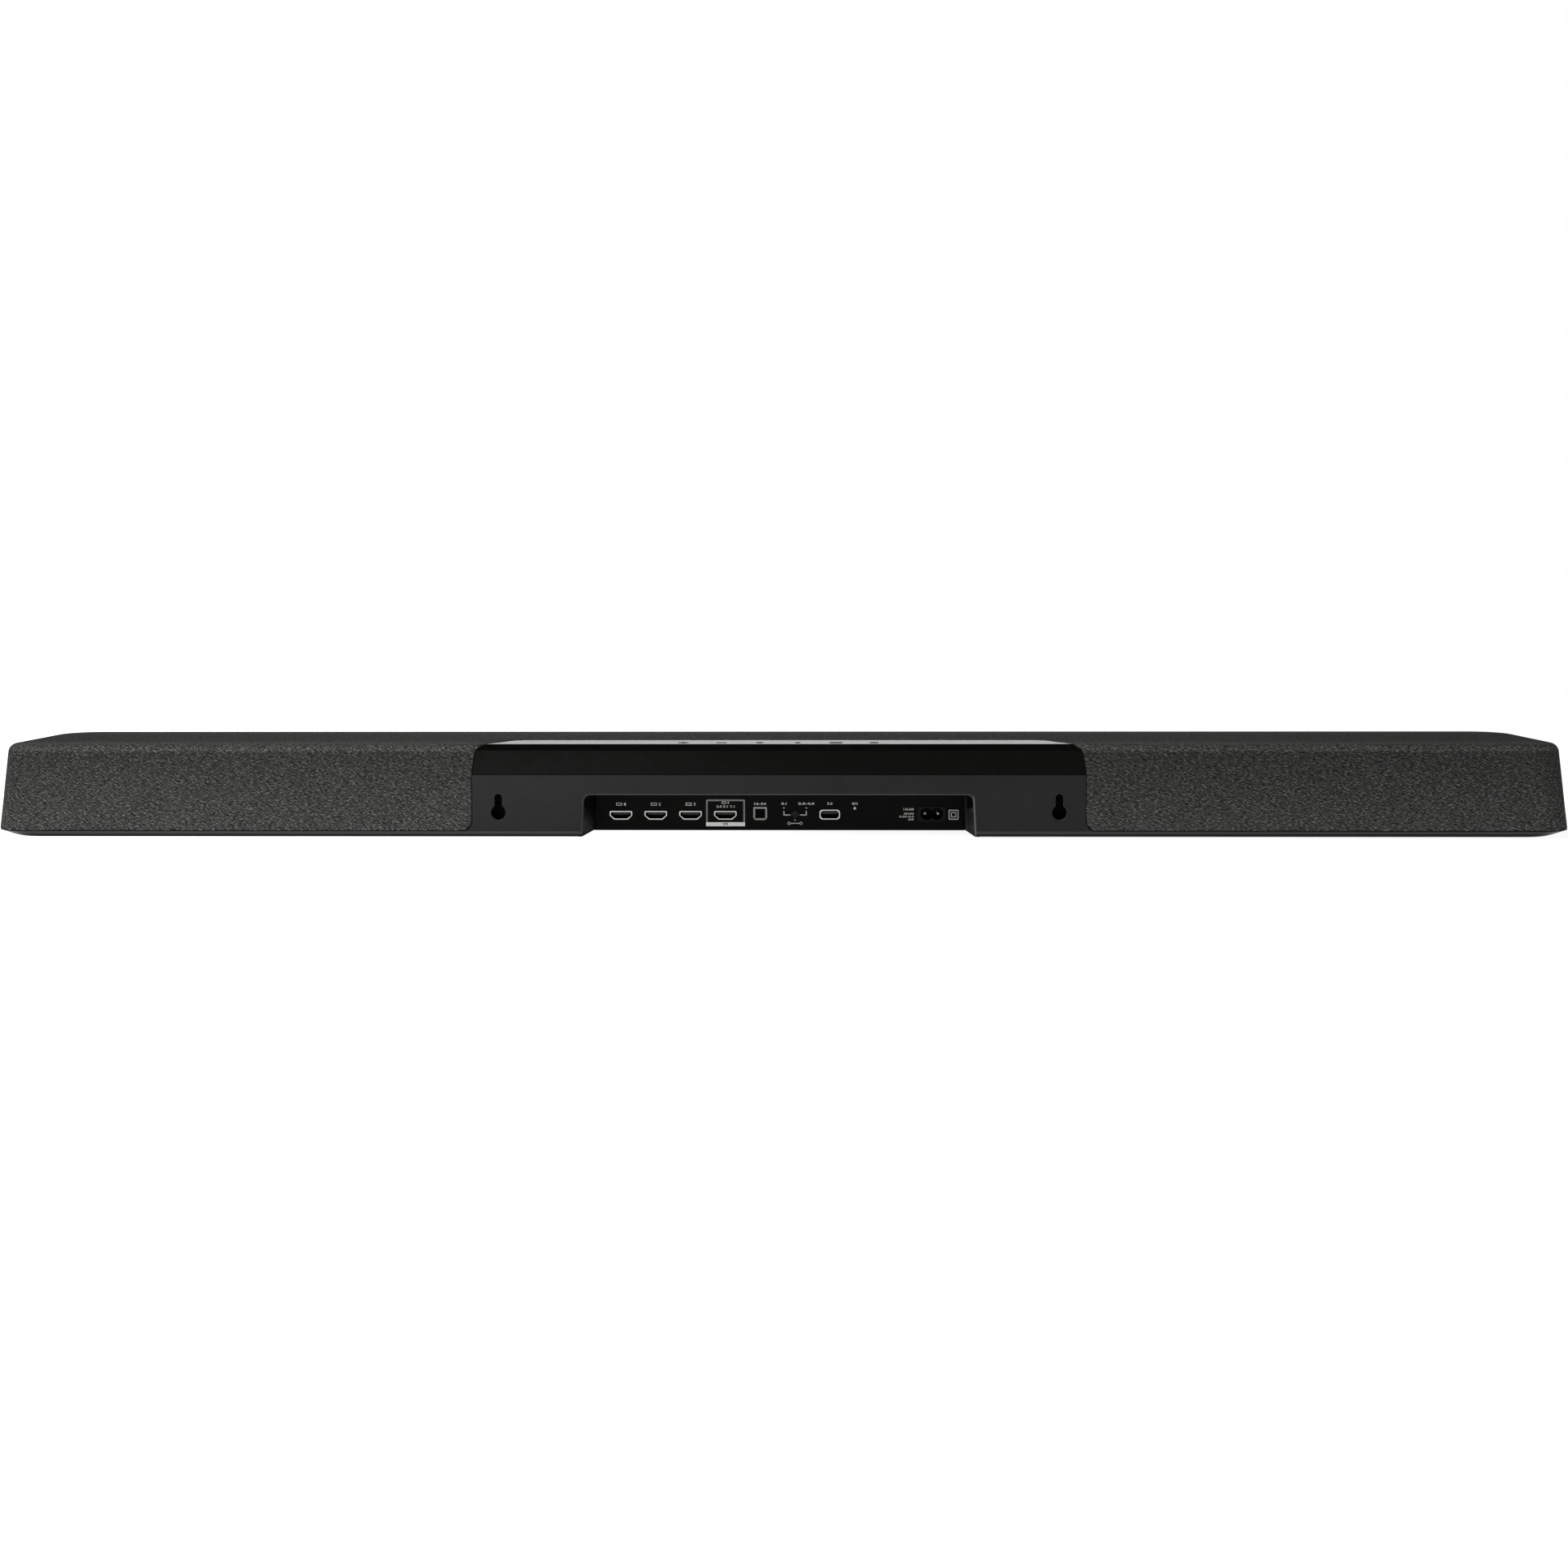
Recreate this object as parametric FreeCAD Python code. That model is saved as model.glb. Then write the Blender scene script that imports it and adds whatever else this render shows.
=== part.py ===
import FreeCAD, Part
import functools
import math
import os

# Soundbar for a television: a long moulded cabinet wrapped in stretched cloth over a windowed grille
# frame, with a glossy control panel let into the top and rear, a recessed connector panel and two
# keyholes for hanging it on a wall.
# Axes: X along the bar, -Y the listening side, +Y the rear, +Z up. The origin is on the surface that
# the feet stand on, under the middle of the bar. All lengths are in millimetres.

# ---- Driving dimensions: the body as a whole ----
overall_length = 1004.0
overall_depth = 120.0
overall_height = 60.0
foot_height = 1.5
rim_height = 3.5  # bare plastic rim between the underside and the lower edge of the cloth
end_lean = 7.8  # how far each end leans in from the rim to the top
front_lean = 3.0  # how far the front leans back from the rim to the top
end_taper = 5.0  # how much further in each end is at the front than at the rear
rear_corner_radius = 20.0
front_corner_radius = 28.0
top_edge_radius = 6.0
rim_end_chamfer = 11.0  # how far the underside is drawn in at each end
rim_edge_chamfer = 0.8

# ---- Cloth and grille frame ----
fabric_thickness = 0.8
frame_thickness = 2.0
window_clearance = 0.4  # between the turned edge of the cloth and what fills the window
front_window_width = 33.0
front_window_height = 36.0
front_rib = 4.0
front_window_bottom = 5.0  # from the rim to the lower edge of the front windows
top_slot_width = 5.0
top_slot_rib = 4.0
top_slot_count = 5

# ---- Cabinet ----
rim_ledge = 6.0  # width of the ledge that carries the grille frame
rim_step = 1.0  # height of the ledge over the floor
wall_thickness = 2.5
baffle_thickness = 3.0
deck_thickness = 2.5
box_end_gap = 28.0  # from the end of the bar, at the rim, to the outside of the box
box_front_gap = 11.0  # from the front of the wrap, at the rim, to the baffle
box_rear_gap = 8.0  # from the rear face to the outside of the box
deck_gap = 8.0  # from the top of the wrap to the top of the deck
gasket_thickness = 1.0
gasket_width = 2.0
bulkhead_thickness = 2.0
bulkhead_margin = 5.0  # from the display to the bulkhead on each side of it
fit_gap = 0.2  # general clearance between moulded parts

# ---- Rear panel, recess and keyholes ----
panel_corner_flare = 8.0
panel_flare_sink = 0.7  # how far the flare runs below the top of the rim
panel_seam_height = 40.7  # seam between the rear panel and the control panel
seam_gap = 0.3
seam_lip_height = 3.3
seam_lip_thickness = 2.0
seam_lip_inset = 9.0  # from each end of the rear panel to the end of the lip
video_end_margin = 20.2  # from the outermost video socket's middle to the end of the recess
inlet_end_margin = 24.3  # from the mains inlet's middle to the other end of the recess
recess_depth = 34.5
recess_draft = 3.8  # how much narrower each side is at the back of the recess
recess_spread = 1.6  # how much wider each side is at the underside than at the roof
recess_bevel = 0.8  # round the mouth
recess_height = 28.0  # top of the recess above the standing surface
recess_corner_radius = 4.0
recess_roof_fall = 1.0
recess_lip = 2.2
recess_lip_thickness = 1.5
keyhole_spacing = 355.0
keyhole_end_margin = 16.5  # from each keyhole's middle to the end of the rear panel
keyhole_entry_height = 16.9
keyhole_entry_radius = 4.7
keyhole_slot_radius = 2.45
keyhole_rise = 9.4
keyhole_bevel = 0.4
keyhole_rib_height = 1.6  # of the sloping rib that presses on the head of a wall screw
keyhole_rib_length = 3.6
keyhole_rib_width = 4.4
pocket_margin = 4.0
pocket_wall = 2.0

# ---- Control panel ----
control_drop = 0.3  # how far the glossy top lies below the cloth
control_depth = 43.0
control_rear_step = 3.3  # how much narrower the control panel is at its rear top edge, on each side
control_far_step = 24.0  # and at its far edge
control_far_radius = 12.0
control_bevel_depth = 9.0  # the sloping band between the glossy top and the rear
control_bevel_height = 3.3
control_wall = 2.2
control_skirt_depth = 8.0  # how far the tall rear skirt reaches forward
control_side_skirt = 3.0
control_post_radius = 3.0
control_post_inset = 20.0  # from the end of the far edge to the outer posts
control_post_far_gap = 5.0  # from the far edge to the far posts
control_post_skirt_gap = 8.0  # from the skirt to the posts nearest to it

# ---- Keys on the control panel ----
key_pitch = 24.4
key_row_inset = 20.0  # from the rear face to the row of keys
key_rise = 0.2
key_clearance = 0.2
key_flange_radius = 5.4
key_flange_thickness = 1.0
key_flange_gap = 0.1
key_travel = 0.6
key_switch_gap = 0.1
key_switch_height = 0.8
key_switch_size = 5.0
key_board_thickness = 1.2
key_board_margin = 12.0
key_board_depth = 18.0
key_post_radius = 2.0

# ---- Connector panel ----
io_panel_thickness = 2.0
io_panel_clearance = 0.15
socket_wall = 0.35
socket_lip = 0.5  # how far the flared mouth of a socket stands out of the panel
socket_corner_radius = 0.8
socket_fit = 0.15
video_first_place = 102.8
video_pitch = 22.6
video_count = 4
video_height = 11.3
video_width = 14.6
video_tall = 5.6
video_depth = 11.5
data_place = -32.7
data_height = 11.8
data_width = 13.3
data_tall = 6.4
data_depth = 13.0
optical_place = 12.4
optical_height = 12.5
optical_width = 9.0
optical_tall = 8.6
optical_depth = 12.0
optical_wall = 1.2
shutter_thickness = 0.8
shutter_clearance = 0.12
connect_place = -10.2
connect_height = 12.1
connect_radius = 2.4
connect_rise = 0.8
connect_travel = 0.6
connect_clearance = 0.15
connect_collar = 0.7  # how far the collar stands out; at full press it passes over the main board
light_place = -48.9
light_height = 15.9
light_radius = 0.85
light_length = 6.0
inlet_place = -98.7
inlet_height = 12.2
inlet_width = 18.6
inlet_tall = 9.8
inlet_depth = 20.0
inlet_lip = 0.5
inlet_cavity_radius = 3.9
inlet_lobe_spacing = 6.6
inlet_waist = 4.8  # height of the cavity between its two lobes
inlet_cavity_depth = 12.5
inlet_pin_spacing = 8.6
inlet_pin_radius = 1.19
inlet_pin_length = 9.5

# ---- Circuit boards ----
board_thickness = 1.6
board_front_gap = 7.8  # from the woofer motors to the front edge of the boards
board_split_gap = 2.0  # between the power board and the main board
board_end_margin = 9.0  # from the outermost socket to the end of the main board
power_board_overhang = 11.0  # beyond the mains inlet
board_post_radius = 3.0
part_margin = 1.0  # from the front edge of a board to the parts on it
heat_sink_width = 46.0
heat_sink_height = 20.0
heat_sink_fins = 8
heat_sink_place = -8.0
heat_sink_base = 3.0
heat_sink_gap = 1.5
fin_thickness = 1.5
chip_width = 12.0
chip_depth = 10.0
chip_height = 1.4
chip_first_place = 26.0
chip_pitch = 20.0
chip_count = 3
module_width = 26.0
module_depth = 12.0
module_height = 3.0
module_place = 98.0
transformer_width = 22.0
transformer_depth = 20.0
transformer_height = 20.0
transformer_gap = 1.5  # from the side of the mains inlet to the transformer
coil_overhang = 1.0
capacitor_radius = 6.0
capacitor_length = 22.0
capacitor_gap = 1.5
display_width = 44.0
display_height = 20.0
display_board_thickness = 1.2
digit_thickness = 2.0
diffuser_thickness = 0.8

# ---- Loudspeakers ----
woofer_length = 106.0
woofer_edge_gap = 1.75  # above and below a woofer's flange, inside the box
woofer_flange = 1.8
woofer_rim = 5.0  # width of the flange outside the cone opening
woofer_basket_depth = 13.0
woofer_basket_wall = 1.2
woofer_seat_margin = 2.5  # how much lower than the motor the flat back of the basket is
woofer_surround = 2.6
woofer_surround_rise = 1.6
surround_seat = 0.6  # depth of the rebate that the edge of the surround is glued into
cone_thickness = 0.7
cone_depth = 8.0
cone_travel = 2.0
coil_margin = 0.45  # how much smaller than the height of the cone the coil's tube is
coil_wall = 0.5
coil_length = 11.0
magnet_width = 6.8  # from the coil to the outside of a woofer's motor
upfiring_magnet_width = 3.8  # the same, for an upward-firing driver
motor_depth = 15.0
motor_plate = 3.5
motor_gap = 0.6
tweeter_radius = 16.5
tweeter_dome_radius = 10.0
tweeter_flange = 1.8
tweeter_body_radius = 13.0
tweeter_body_depth = 13.0
dome_thickness = 0.5
dome_rise = 3.0
dome_travel = 0.3
baffle_half_row = ("woofer", "tweeter", "woofer", "display", "woofer")  # from an end to the middle one
driver_gap = 0.25  # between a moving cone and its fixed ring
upfiring_end_gap = 44.0  # from the end of the box to its centre
upfiring_front_gap = 31.0  # from the backs of the woofers' motors to its centre
upfiring_tilt = 12.0
upfiring_radius = 26.0
upfiring_drop = 3.2  # of its pivot below the top of the deck
upfiring_motor_depth = 12.0

# ---- Fasteners and feet ----
boss_clearance = 3.0  # between a boss and the walls or drivers beside it
screw_recess_gap = 27.0  # from the end of the recess to the first screw beside it
screw_end_gap = 10.0  # from the end of the box to the last screw
screw_shank_radius = 1.5
screw_length = 12.0
screw_head_radius = 2.8
screw_head_height = 1.6
screw_sink = 0.4  # how far each head lies below the underside
boss_radius = 3.6
foot_length = 36.0
foot_width = 9.0
foot_end_inset = 82.0
foot_edge_inset = 22.0

# ---- Levels and planes that follow from them ----
front_y = -overall_depth / 2
rear_y = overall_depth / 2
end_slope = end_taper / overall_depth
end_bulge = rear_corner_radius * (end_slope + math.hypot(1, end_slope) - 1)
half_length = overall_length / 2 + end_bulge  # to the sharp rear corners, before they are rounded
box_half_length = overall_length / 2 - box_end_gap
video_places = [video_first_place - i * video_pitch for i in range(video_count)]
panel_half_width = keyhole_spacing / 2 + keyhole_end_margin
control_rear_half = panel_half_width - control_rear_step
control_far_half = panel_half_width - control_far_step
recess_half_width = max(video_places[0] + video_end_margin, inlet_end_margin - inlet_place)
rim_top = foot_height + rim_height
floor_top = rim_top - rim_step
wrap_thickness = fabric_thickness + frame_thickness
baffle_front = front_y + box_front_gap
baffle_back = baffle_front + baffle_thickness
box_rear = rear_y - box_rear_gap
box_rear_inside = box_rear - wall_thickness
deck_top = overall_height - deck_gap
deck_bottom = deck_top - deck_thickness
wall_top = deck_bottom - gasket_thickness
panel_inside = rear_y - wall_thickness
recess_end = rear_y - recess_depth
recess_seat = recess_end - io_panel_thickness
control_top = overall_height - control_drop
control_under = control_top - control_wall
key_row = rear_y - key_row_inset
key_top = control_top + key_rise
key_flange_top = control_under - key_flange_gap
key_flange_bottom = key_flange_top - key_flange_thickness
key_board_top = key_flange_bottom - key_travel - key_switch_gap - key_switch_height
board_top = video_height - video_tall / 2 + socket_wall
power_board_top = inlet_height - inlet_tall / 2 + socket_wall
board_back = recess_seat - recess_lip_thickness - fit_gap
driver_height = (floor_top + deck_bottom) / 2
flange_front = baffle_front - woofer_flange
woofer_height = deck_bottom - floor_top - 2 * woofer_edge_gap
cone_inset = woofer_rim + woofer_surround + driver_gap
coil_radius = woofer_height / 2 - cone_inset - coil_margin - coil_wall
motor_radius = coil_radius + magnet_width
upfiring_motor_radius = coil_radius + upfiring_magnet_width
motor_back = baffle_front + woofer_basket_depth + motor_depth
board_front = motor_back + board_front_gap
upfiring_place = box_half_length - upfiring_end_gap
upfiring_depth = motor_back + upfiring_front_gap


def spread_along_baffle():
    """Middles of everything in the baffle's row, by kind, with the same gap between all neighbours."""
    widths = {"woofer": woofer_length, "tweeter": 2 * tweeter_radius, "display": display_width}
    row = baffle_half_row + ("tweeter",) + baffle_half_row[::-1]
    inner_half = box_half_length - wall_thickness
    free = 2 * inner_half - sum(widths[kind] for kind in row)
    gap = free / (len(row) + 1)
    places = {kind: [] for kind in widths}
    edge = -inner_half
    for kind in row:
        places[kind].append(edge + gap + widths[kind] / 2)
        edge += gap + widths[kind]
    return places


baffle_places = spread_along_baffle()
woofer_places = baffle_places["woofer"]
tweeter_places = baffle_places["tweeter"]
display_place = baffle_places["display"][-1]
transformer_left = inlet_place + inlet_width / 2 + transformer_gap
capacitor_place = transformer_left + transformer_width + capacitor_gap + capacitor_radius
power_board_left = inlet_place - inlet_width / 2 - power_board_overhang
power_board_right = capacitor_place + capacitor_radius + part_margin
power_board_span = (power_board_left, power_board_right)
main_board_right = video_places[0] + video_width / 2 + board_end_margin
main_board_span = (power_board_right + board_split_gap, main_board_right)

vector = FreeCAD.Vector


# ---- Shape helpers ----
def flat(z):
    """Places a drawn point (across, deep) on the level plane at height z."""
    return lambda u, v: vector(u, v, z)


def upright(y):
    """Places a drawn point (across, high) on the upright plane at depth y."""
    return lambda u, v: vector(u, y, v)


def rounded_wire(points, radii, place):
    """Closed wire through the corners, each rounded by its own tangent arc; radius 0 leaves it sharp."""
    corners = [place(u, v) for u, v in points]
    runs = []
    for i, corner in enumerate(corners):
        back = (corners[i - 1] - corner).normalize()
        ahead = (corners[(i + 1) % len(corners)] - corner).normalize()
        if radii[i] <= 0:
            runs.append((corner, None, corner))
            continue
        half_angle = back.getAngle(ahead) / 2
        reach = radii[i] / math.tan(half_angle)
        middle = (back + ahead).normalize()
        nearest = corner + middle * (radii[i] / math.sin(half_angle) - radii[i])
        runs.append((corner + back * reach, nearest, corner + ahead * reach))
    edges = []
    for i, (start, through, end) in enumerate(runs):
        if through is not None:
            edges.append(Part.Arc(start, through, end).toShape())
        following = runs[(i + 1) % len(runs)][0]
        if end.distanceToPoint(following) > 1e-6:
            edges.append(Part.LineSegment(end, following).toShape())
    return Part.Wire(edges)


def prism(points, radii, place, way):
    """Solid made by pushing a rounded outline along a vector."""
    return Part.Face(rounded_wire(points, radii, place)).extrude(way)


def loft(wires):
    """Solid with straight rules between outlines of the same form."""
    return Part.makeLoft(wires, True, True)


def block(x0, x1, y0, y1, z0, z1):
    """Rectangular block between two corners."""
    return Part.makeBox(x1 - x0, y1 - y0, z1 - z0, vector(x0, y0, z0))


def rod(x, y, z, radius, length, way):
    """Round rod that starts at a point and runs along a unit vector."""
    return Part.makeCylinder(radius, length, vector(x, y, z), way)


def rectangle(cx, cv, width, tall):
    """Corners of a rectangle drawn about its centre."""
    w, t = width / 2, tall / 2
    return [(cx - w, cv - t), (cx + w, cv - t), (cx + w, cv + t), (cx - w, cv + t)]


def racetrack(cx, cz, half_long, half_high, y):
    """Upright outline with straight sides and semicircular ends."""
    straight = half_long - half_high
    place = upright(y)
    low, high = cz - half_high, cz + half_high
    right = [place(cx + straight, low), place(cx + half_long, cz), place(cx + straight, high)]
    left = [place(cx - straight, high), place(cx - half_long, cz), place(cx - straight, low)]
    edges = [
        Part.LineSegment(left[2], right[0]).toShape(),
        Part.Arc(right[0], right[1], right[2]).toShape(),
        Part.LineSegment(right[2], left[0]).toShape(),
        Part.Arc(left[0], left[1], left[2]).toShape(),
    ]
    return Part.Wire(edges)


def mirrored(places):
    """Each place and its twin on the other side of the middle."""
    return [(side * x, y) for x, y in places for side in (-1, 1)]


toward_rear = vector(0, 1, 0)
toward_front = vector(0, -1, 0)
upward = vector(0, 0, 1)


# ---- Outer form shared by the cloth, the frame and the cabinet rim ----
def body_outline(z, inset, end_inset=0.0):
    """Plan outline of the bar at height z, drawn in all round and a little more at the ends."""
    rise = max(z - rim_top, 0) / (overall_height - rim_top)
    rear_half = half_length - end_lean * rise - inset - end_inset
    front_half = rear_half - end_taper
    front = front_y + front_lean * rise + inset
    rear = rear_y - inset
    points = [(-rear_half, rear), (-front_half, front), (front_half, front), (rear_half, rear)]
    rear_round = rear_corner_radius - inset
    front_round = front_corner_radius - inset
    return rounded_wire(points, [rear_round, front_round, front_round, rear_round], flat(z))


@functools.lru_cache
def body_envelope(inset):
    """The wrapped body from the rim to its rounded top, drawn in by a thickness."""
    top = overall_height - inset
    solid = loft([body_outline(rim_top, inset), body_outline(top, inset)])
    rim = [e for e in solid.Edges if all(abs(v.Z - top) < 1e-6 for v in e.Vertexes)]
    return solid.makeFillet(top_edge_radius - inset, rim)


def control_outline(z, grow, rear):
    """Plan outline of the control panel at height z: wide at the rear, with rounded far corners."""
    spread = (panel_half_width - control_rear_half) * (overall_height - z)
    spread = spread / (overall_height - panel_seam_height) + grow
    slope = (control_rear_half - control_far_half) / control_depth
    far = rear_y - control_depth - grow
    rear_half = control_rear_half + spread + slope * (rear - rear_y)
    far_half = control_far_half + spread
    points = [(-rear_half, rear), (rear_half, rear), (far_half, far), (-far_half, far)]
    return rounded_wire(points, [0, 0, control_far_radius, control_far_radius], flat(z))


def rear_opening(grow, front, rear):
    """Block behind the outline of the rear panel, whose lower corners flare out onto the rim."""
    radius = panel_corner_flare - grow
    half = panel_half_width + grow
    middle = rim_top - panel_flare_sink + panel_corner_flare  # height of the centre of each flare
    low, high = rim_top - rim_step, panel_seam_height + rim_step
    centre = half + radius
    bend = radius * (1 - math.sqrt(0.5))
    edges = []
    for side in (1, -1):
        top = vector(side * half, front, high)
        tangent = vector(side * half, front, middle)
        through = vector(side * (half + bend), front, middle - radius + bend)
        foot = vector(side * centre, front, middle - radius)
        corner = vector(side * centre, front, low)
        edges += [Part.LineSegment(top, tangent).toShape(), Part.Arc(tangent, through, foot).toShape()]
        edges.append(Part.LineSegment(foot, corner).toShape())
    edges.append(Part.LineSegment(vector(centre, front, low), vector(-centre, front, low)).toShape())
    edges.append(Part.LineSegment(vector(half, front, high), vector(-half, front, high)).toShape())
    outline = Part.Wire(Part.sortEdges(edges)[0])
    return Part.Face(outline).extrude(vector(0, rear - front, 0))


def wrap_window(grow):
    """The two blocks that cut what the cloth and frame leave open, at the top and at the rear."""
    over = 5.0
    upper = loft(
        [
            control_outline(panel_seam_height, grow, rear_y + over),
            control_outline(overall_height + over, grow, rear_y + over),
        ]
    )
    lower = rear_opening(grow, rear_y - top_edge_radius - over, rear_y + over)
    return [upper, lower]


# ---- Cloth and frame ----
def make_fabric_wrap():
    """Cloth stretched over the frame, with its edge turned in round the window."""
    core = body_envelope(fabric_thickness).cut(wrap_window(window_clearance + fabric_thickness))
    cloth = body_envelope(0.0).cut(core).cut(body_envelope(wrap_thickness))
    return cloth.cut(wrap_window(window_clearance))


def front_windows():
    """Row of rounded windows along the front, in front of the drivers."""
    pitch = front_window_width + front_rib
    usable = half_length - end_lean - end_taper - front_corner_radius
    count = int(2 * usable / pitch)
    bottom = rim_top + front_window_bottom
    middle = bottom + front_window_height / 2
    cutters = []
    for i in range(count):
        x = (i - (count - 1) / 2) * pitch
        corners = rectangle(x, middle, front_window_width, front_window_height)
        reach = vector(0, front_corner_radius / 2, 0)
        cutters.append(prism(corners, [3.0] * 4, upright(front_y - 1.0), reach))
    return cutters


def top_windows():
    """Slots in the top of the frame, over each upward-firing driver."""
    pitch = top_slot_width + top_slot_rib
    cutters = []
    for side in (-1, 1):
        for i in range(top_slot_count):
            offset = (i - (top_slot_count - 1) / 2) * pitch
            chord = 2 * math.sqrt(max(upfiring_radius**2 - offset**2, 1.0))
            corners = rectangle(side * upfiring_place + offset, upfiring_depth, top_slot_width, chord)
            radii = [0.49 * top_slot_width] * 4
            base = flat(overall_height - 2 * wrap_thickness)
            cutters.append(prism(corners, radii, base, upward * (3 * wrap_thickness)))
    return cutters


def make_grille_frame():
    """Rigid shell under the cloth, open in front of the drivers."""
    shell = body_envelope(fabric_thickness).cut(body_envelope(wrap_thickness))
    shell = shell.cut(wrap_window(window_clearance + fabric_thickness))
    return shell.cut(front_windows() + top_windows())


# ---- Cabinet ----
def recess_outline(y, grow, low):
    """Upright outline of the rear recess at depth y, which narrows inwards."""
    share = (rear_y - y) / recess_depth
    half = recess_half_width - recess_draft * share + grow
    high = recess_height - recess_roof_fall * share + grow
    foot = half + recess_spread * (high - low) / recess_height
    points = [(-foot, low), (foot, low), (half, high), (-half, high)]
    corner = recess_corner_radius + grow
    return rounded_wire(points, [0, 0, corner, corner], upright(y))


def recess_void(near, far, grow, low):
    """Tapered space of the recess between two depths."""
    return loft([recess_outline(near, grow, low), recess_outline(far, grow, low)])


def cabinet_base():
    """Floor and rim, drawn in underneath at the ends, with a ledge for the grille frame."""
    bevel_top = foot_height + rim_edge_chamfer
    left_over = rim_end_chamfer * (rim_top - bevel_top) / rim_height
    solid = loft(
        [
            body_outline(foot_height, rim_edge_chamfer, rim_end_chamfer),
            body_outline(bevel_top, 0.0, left_over),
            body_outline(rim_top, 0.0),
        ]
    )
    well = loft([body_outline(floor_top, rim_ledge), body_outline(rim_top + rim_step, rim_ledge)])
    return solid.cut(well)


def speaker_box_walls():
    """End walls, rear wall and bulkheads of the sealed box, up to the gasket."""
    half, low = box_half_length, foot_height + rim_edge_chamfer
    outer = block(-half, half, baffle_back + fit_gap, box_rear, low, wall_top)
    inner_half = half - wall_thickness
    room = block(-inner_half, inner_half, front_y, box_rear_inside, floor_top, overall_height)
    bulkhead_reach = display_width / 2 + bulkhead_margin
    ribs = [
        block(
            side * x - bulkhead_thickness / 2,
            side * x + bulkhead_thickness / 2,
            baffle_back + fit_gap,
            box_rear_inside,
            low,
            wall_top,
        )
        for x in (display_place - bulkhead_reach, display_place + bulkhead_reach)
        for side in (-1, 1)
    ]
    return [outer.cut(room)] + ribs


def rear_panel_walls():
    """Visible rear panel with the lip that locates the control panel, and its side returns."""
    skin = rear_opening(0.0, panel_inside, rear_y)
    skin = skin.cut(block(-half_length, half_length, front_y, rear_y, panel_seam_height, overall_height))
    half, lip_half = panel_half_width - wall_thickness, panel_half_width - seam_lip_inset
    lip_front = panel_inside - seam_lip_thickness
    lip_top, lip_bottom = panel_seam_height + seam_lip_height, panel_seam_height - wall_thickness
    lip = block(-lip_half, lip_half, lip_front, panel_inside - seam_gap, lip_bottom, lip_top)
    spacer = block(-lip_half, lip_half, lip_front, panel_inside, lip_bottom, panel_seam_height)
    returns = [
        block(
            min(side * half, side * (half - wall_thickness)),
            max(side * half, side * (half - wall_thickness)),
            box_rear_inside,
            panel_inside,
            foot_height + rim_edge_chamfer,
            panel_seam_height,
        )
        for side in (-1, 1)
    ]
    return [skin, lip, spacer] + returns


def keyhole_wire(x, grow, y):
    """Outline of a keyhole at depth y: a round entry for the screw head and a narrow slot above it."""
    entry, slot = keyhole_entry_radius + grow, keyhole_slot_radius + grow
    low, high = keyhole_entry_height, keyhole_entry_height + keyhole_rise
    join = low + math.sqrt(entry**2 - slot**2)
    place = upright(y)
    around = Part.Arc(place(x - slot, join), place(x, low - entry), place(x + slot, join)).toShape()
    over = Part.Arc(place(x + slot, high), place(x, high + slot), place(x - slot, high)).toShape()
    right = Part.LineSegment(place(x + slot, join), place(x + slot, high)).toShape()
    left = Part.LineSegment(place(x - slot, high), place(x - slot, join)).toShape()
    return Part.Wire([around, right, over, left])


def keyhole_outline_cut(x):
    """Keyhole through the rear panel, with a small bevel round its edge."""
    bevel, beyond = keyhole_bevel, 0.2
    start = panel_inside - bevel
    near = Part.Face(keyhole_wire(x, 0.0, start)).extrude(vector(0, rear_y + beyond - start, 0))
    flare = loft([keyhole_wire(x, 0.0, rear_y - bevel), keyhole_wire(x, bevel + beyond, rear_y + beyond)])
    return near.fuse(flare)


def keyhole_pocket_walls(x):
    """Box behind a keyhole that keeps the screw head out of the speaker box."""
    half = keyhole_entry_radius + pocket_margin
    low = keyhole_entry_height - half
    high = keyhole_entry_height + keyhole_rise + half - keyhole_slot_radius
    outer = block(
        x - half - pocket_wall,
        x + half + pocket_wall,
        box_rear_inside,
        panel_inside,
        low - pocket_wall,
        high + pocket_wall,
    )
    room = block(x - half, x + half, box_rear, rear_y, low, high)
    return outer.cut(room).fuse(keyhole_rib(x))


def keyhole_rib(x):
    """Wedge on the floor of the pocket that presses on the screw head, on the side nearer the middle."""
    base = keyhole_entry_height + keyhole_entry_radius - keyhole_bevel
    start = box_rear - wall_thickness / 2
    tip = box_rear + keyhole_rib_height
    top = base + keyhole_rib_length
    corners = [vector(x, start, base), vector(x, start, top), vector(x, tip, top - keyhole_bevel)]
    corners.append(vector(x, box_rear, base))
    wedge = Part.Face(Part.makePolygon(corners + [corners[0]]))
    return wedge.extrude(vector(math.copysign(keyhole_rib_width, -x), 0, 0))


def recess_walls():
    """Sides and roof of the recess, and the lip that the connector panel is pressed against."""
    inner_end = recess_seat - recess_lip_thickness
    shell = recess_void(inner_end, rear_y, wall_thickness, foot_height)
    space = recess_void(recess_seat, rear_y + 1.0, 0.0, foot_height - 1.0)
    opening = recess_void(inner_end - 1.0, recess_seat, -recess_lip, rim_top)
    return shell.cut([space, opening])


def screw_places():
    """Screws behind the display and the outer tweeters, and along the rear wall of the box."""
    clear = boss_radius + boss_clearance
    rear = box_rear_inside - clear
    near, far = recess_half_width + screw_recess_gap, box_half_length - screw_end_gap
    front_row = [(display_place, baffle_back + clear)]
    front_row.append((tweeter_places[-1], baffle_front + tweeter_body_depth + clear))
    return mirrored(front_row + [(near, rear), ((near + far) / 2, rear), (far, rear)])


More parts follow.
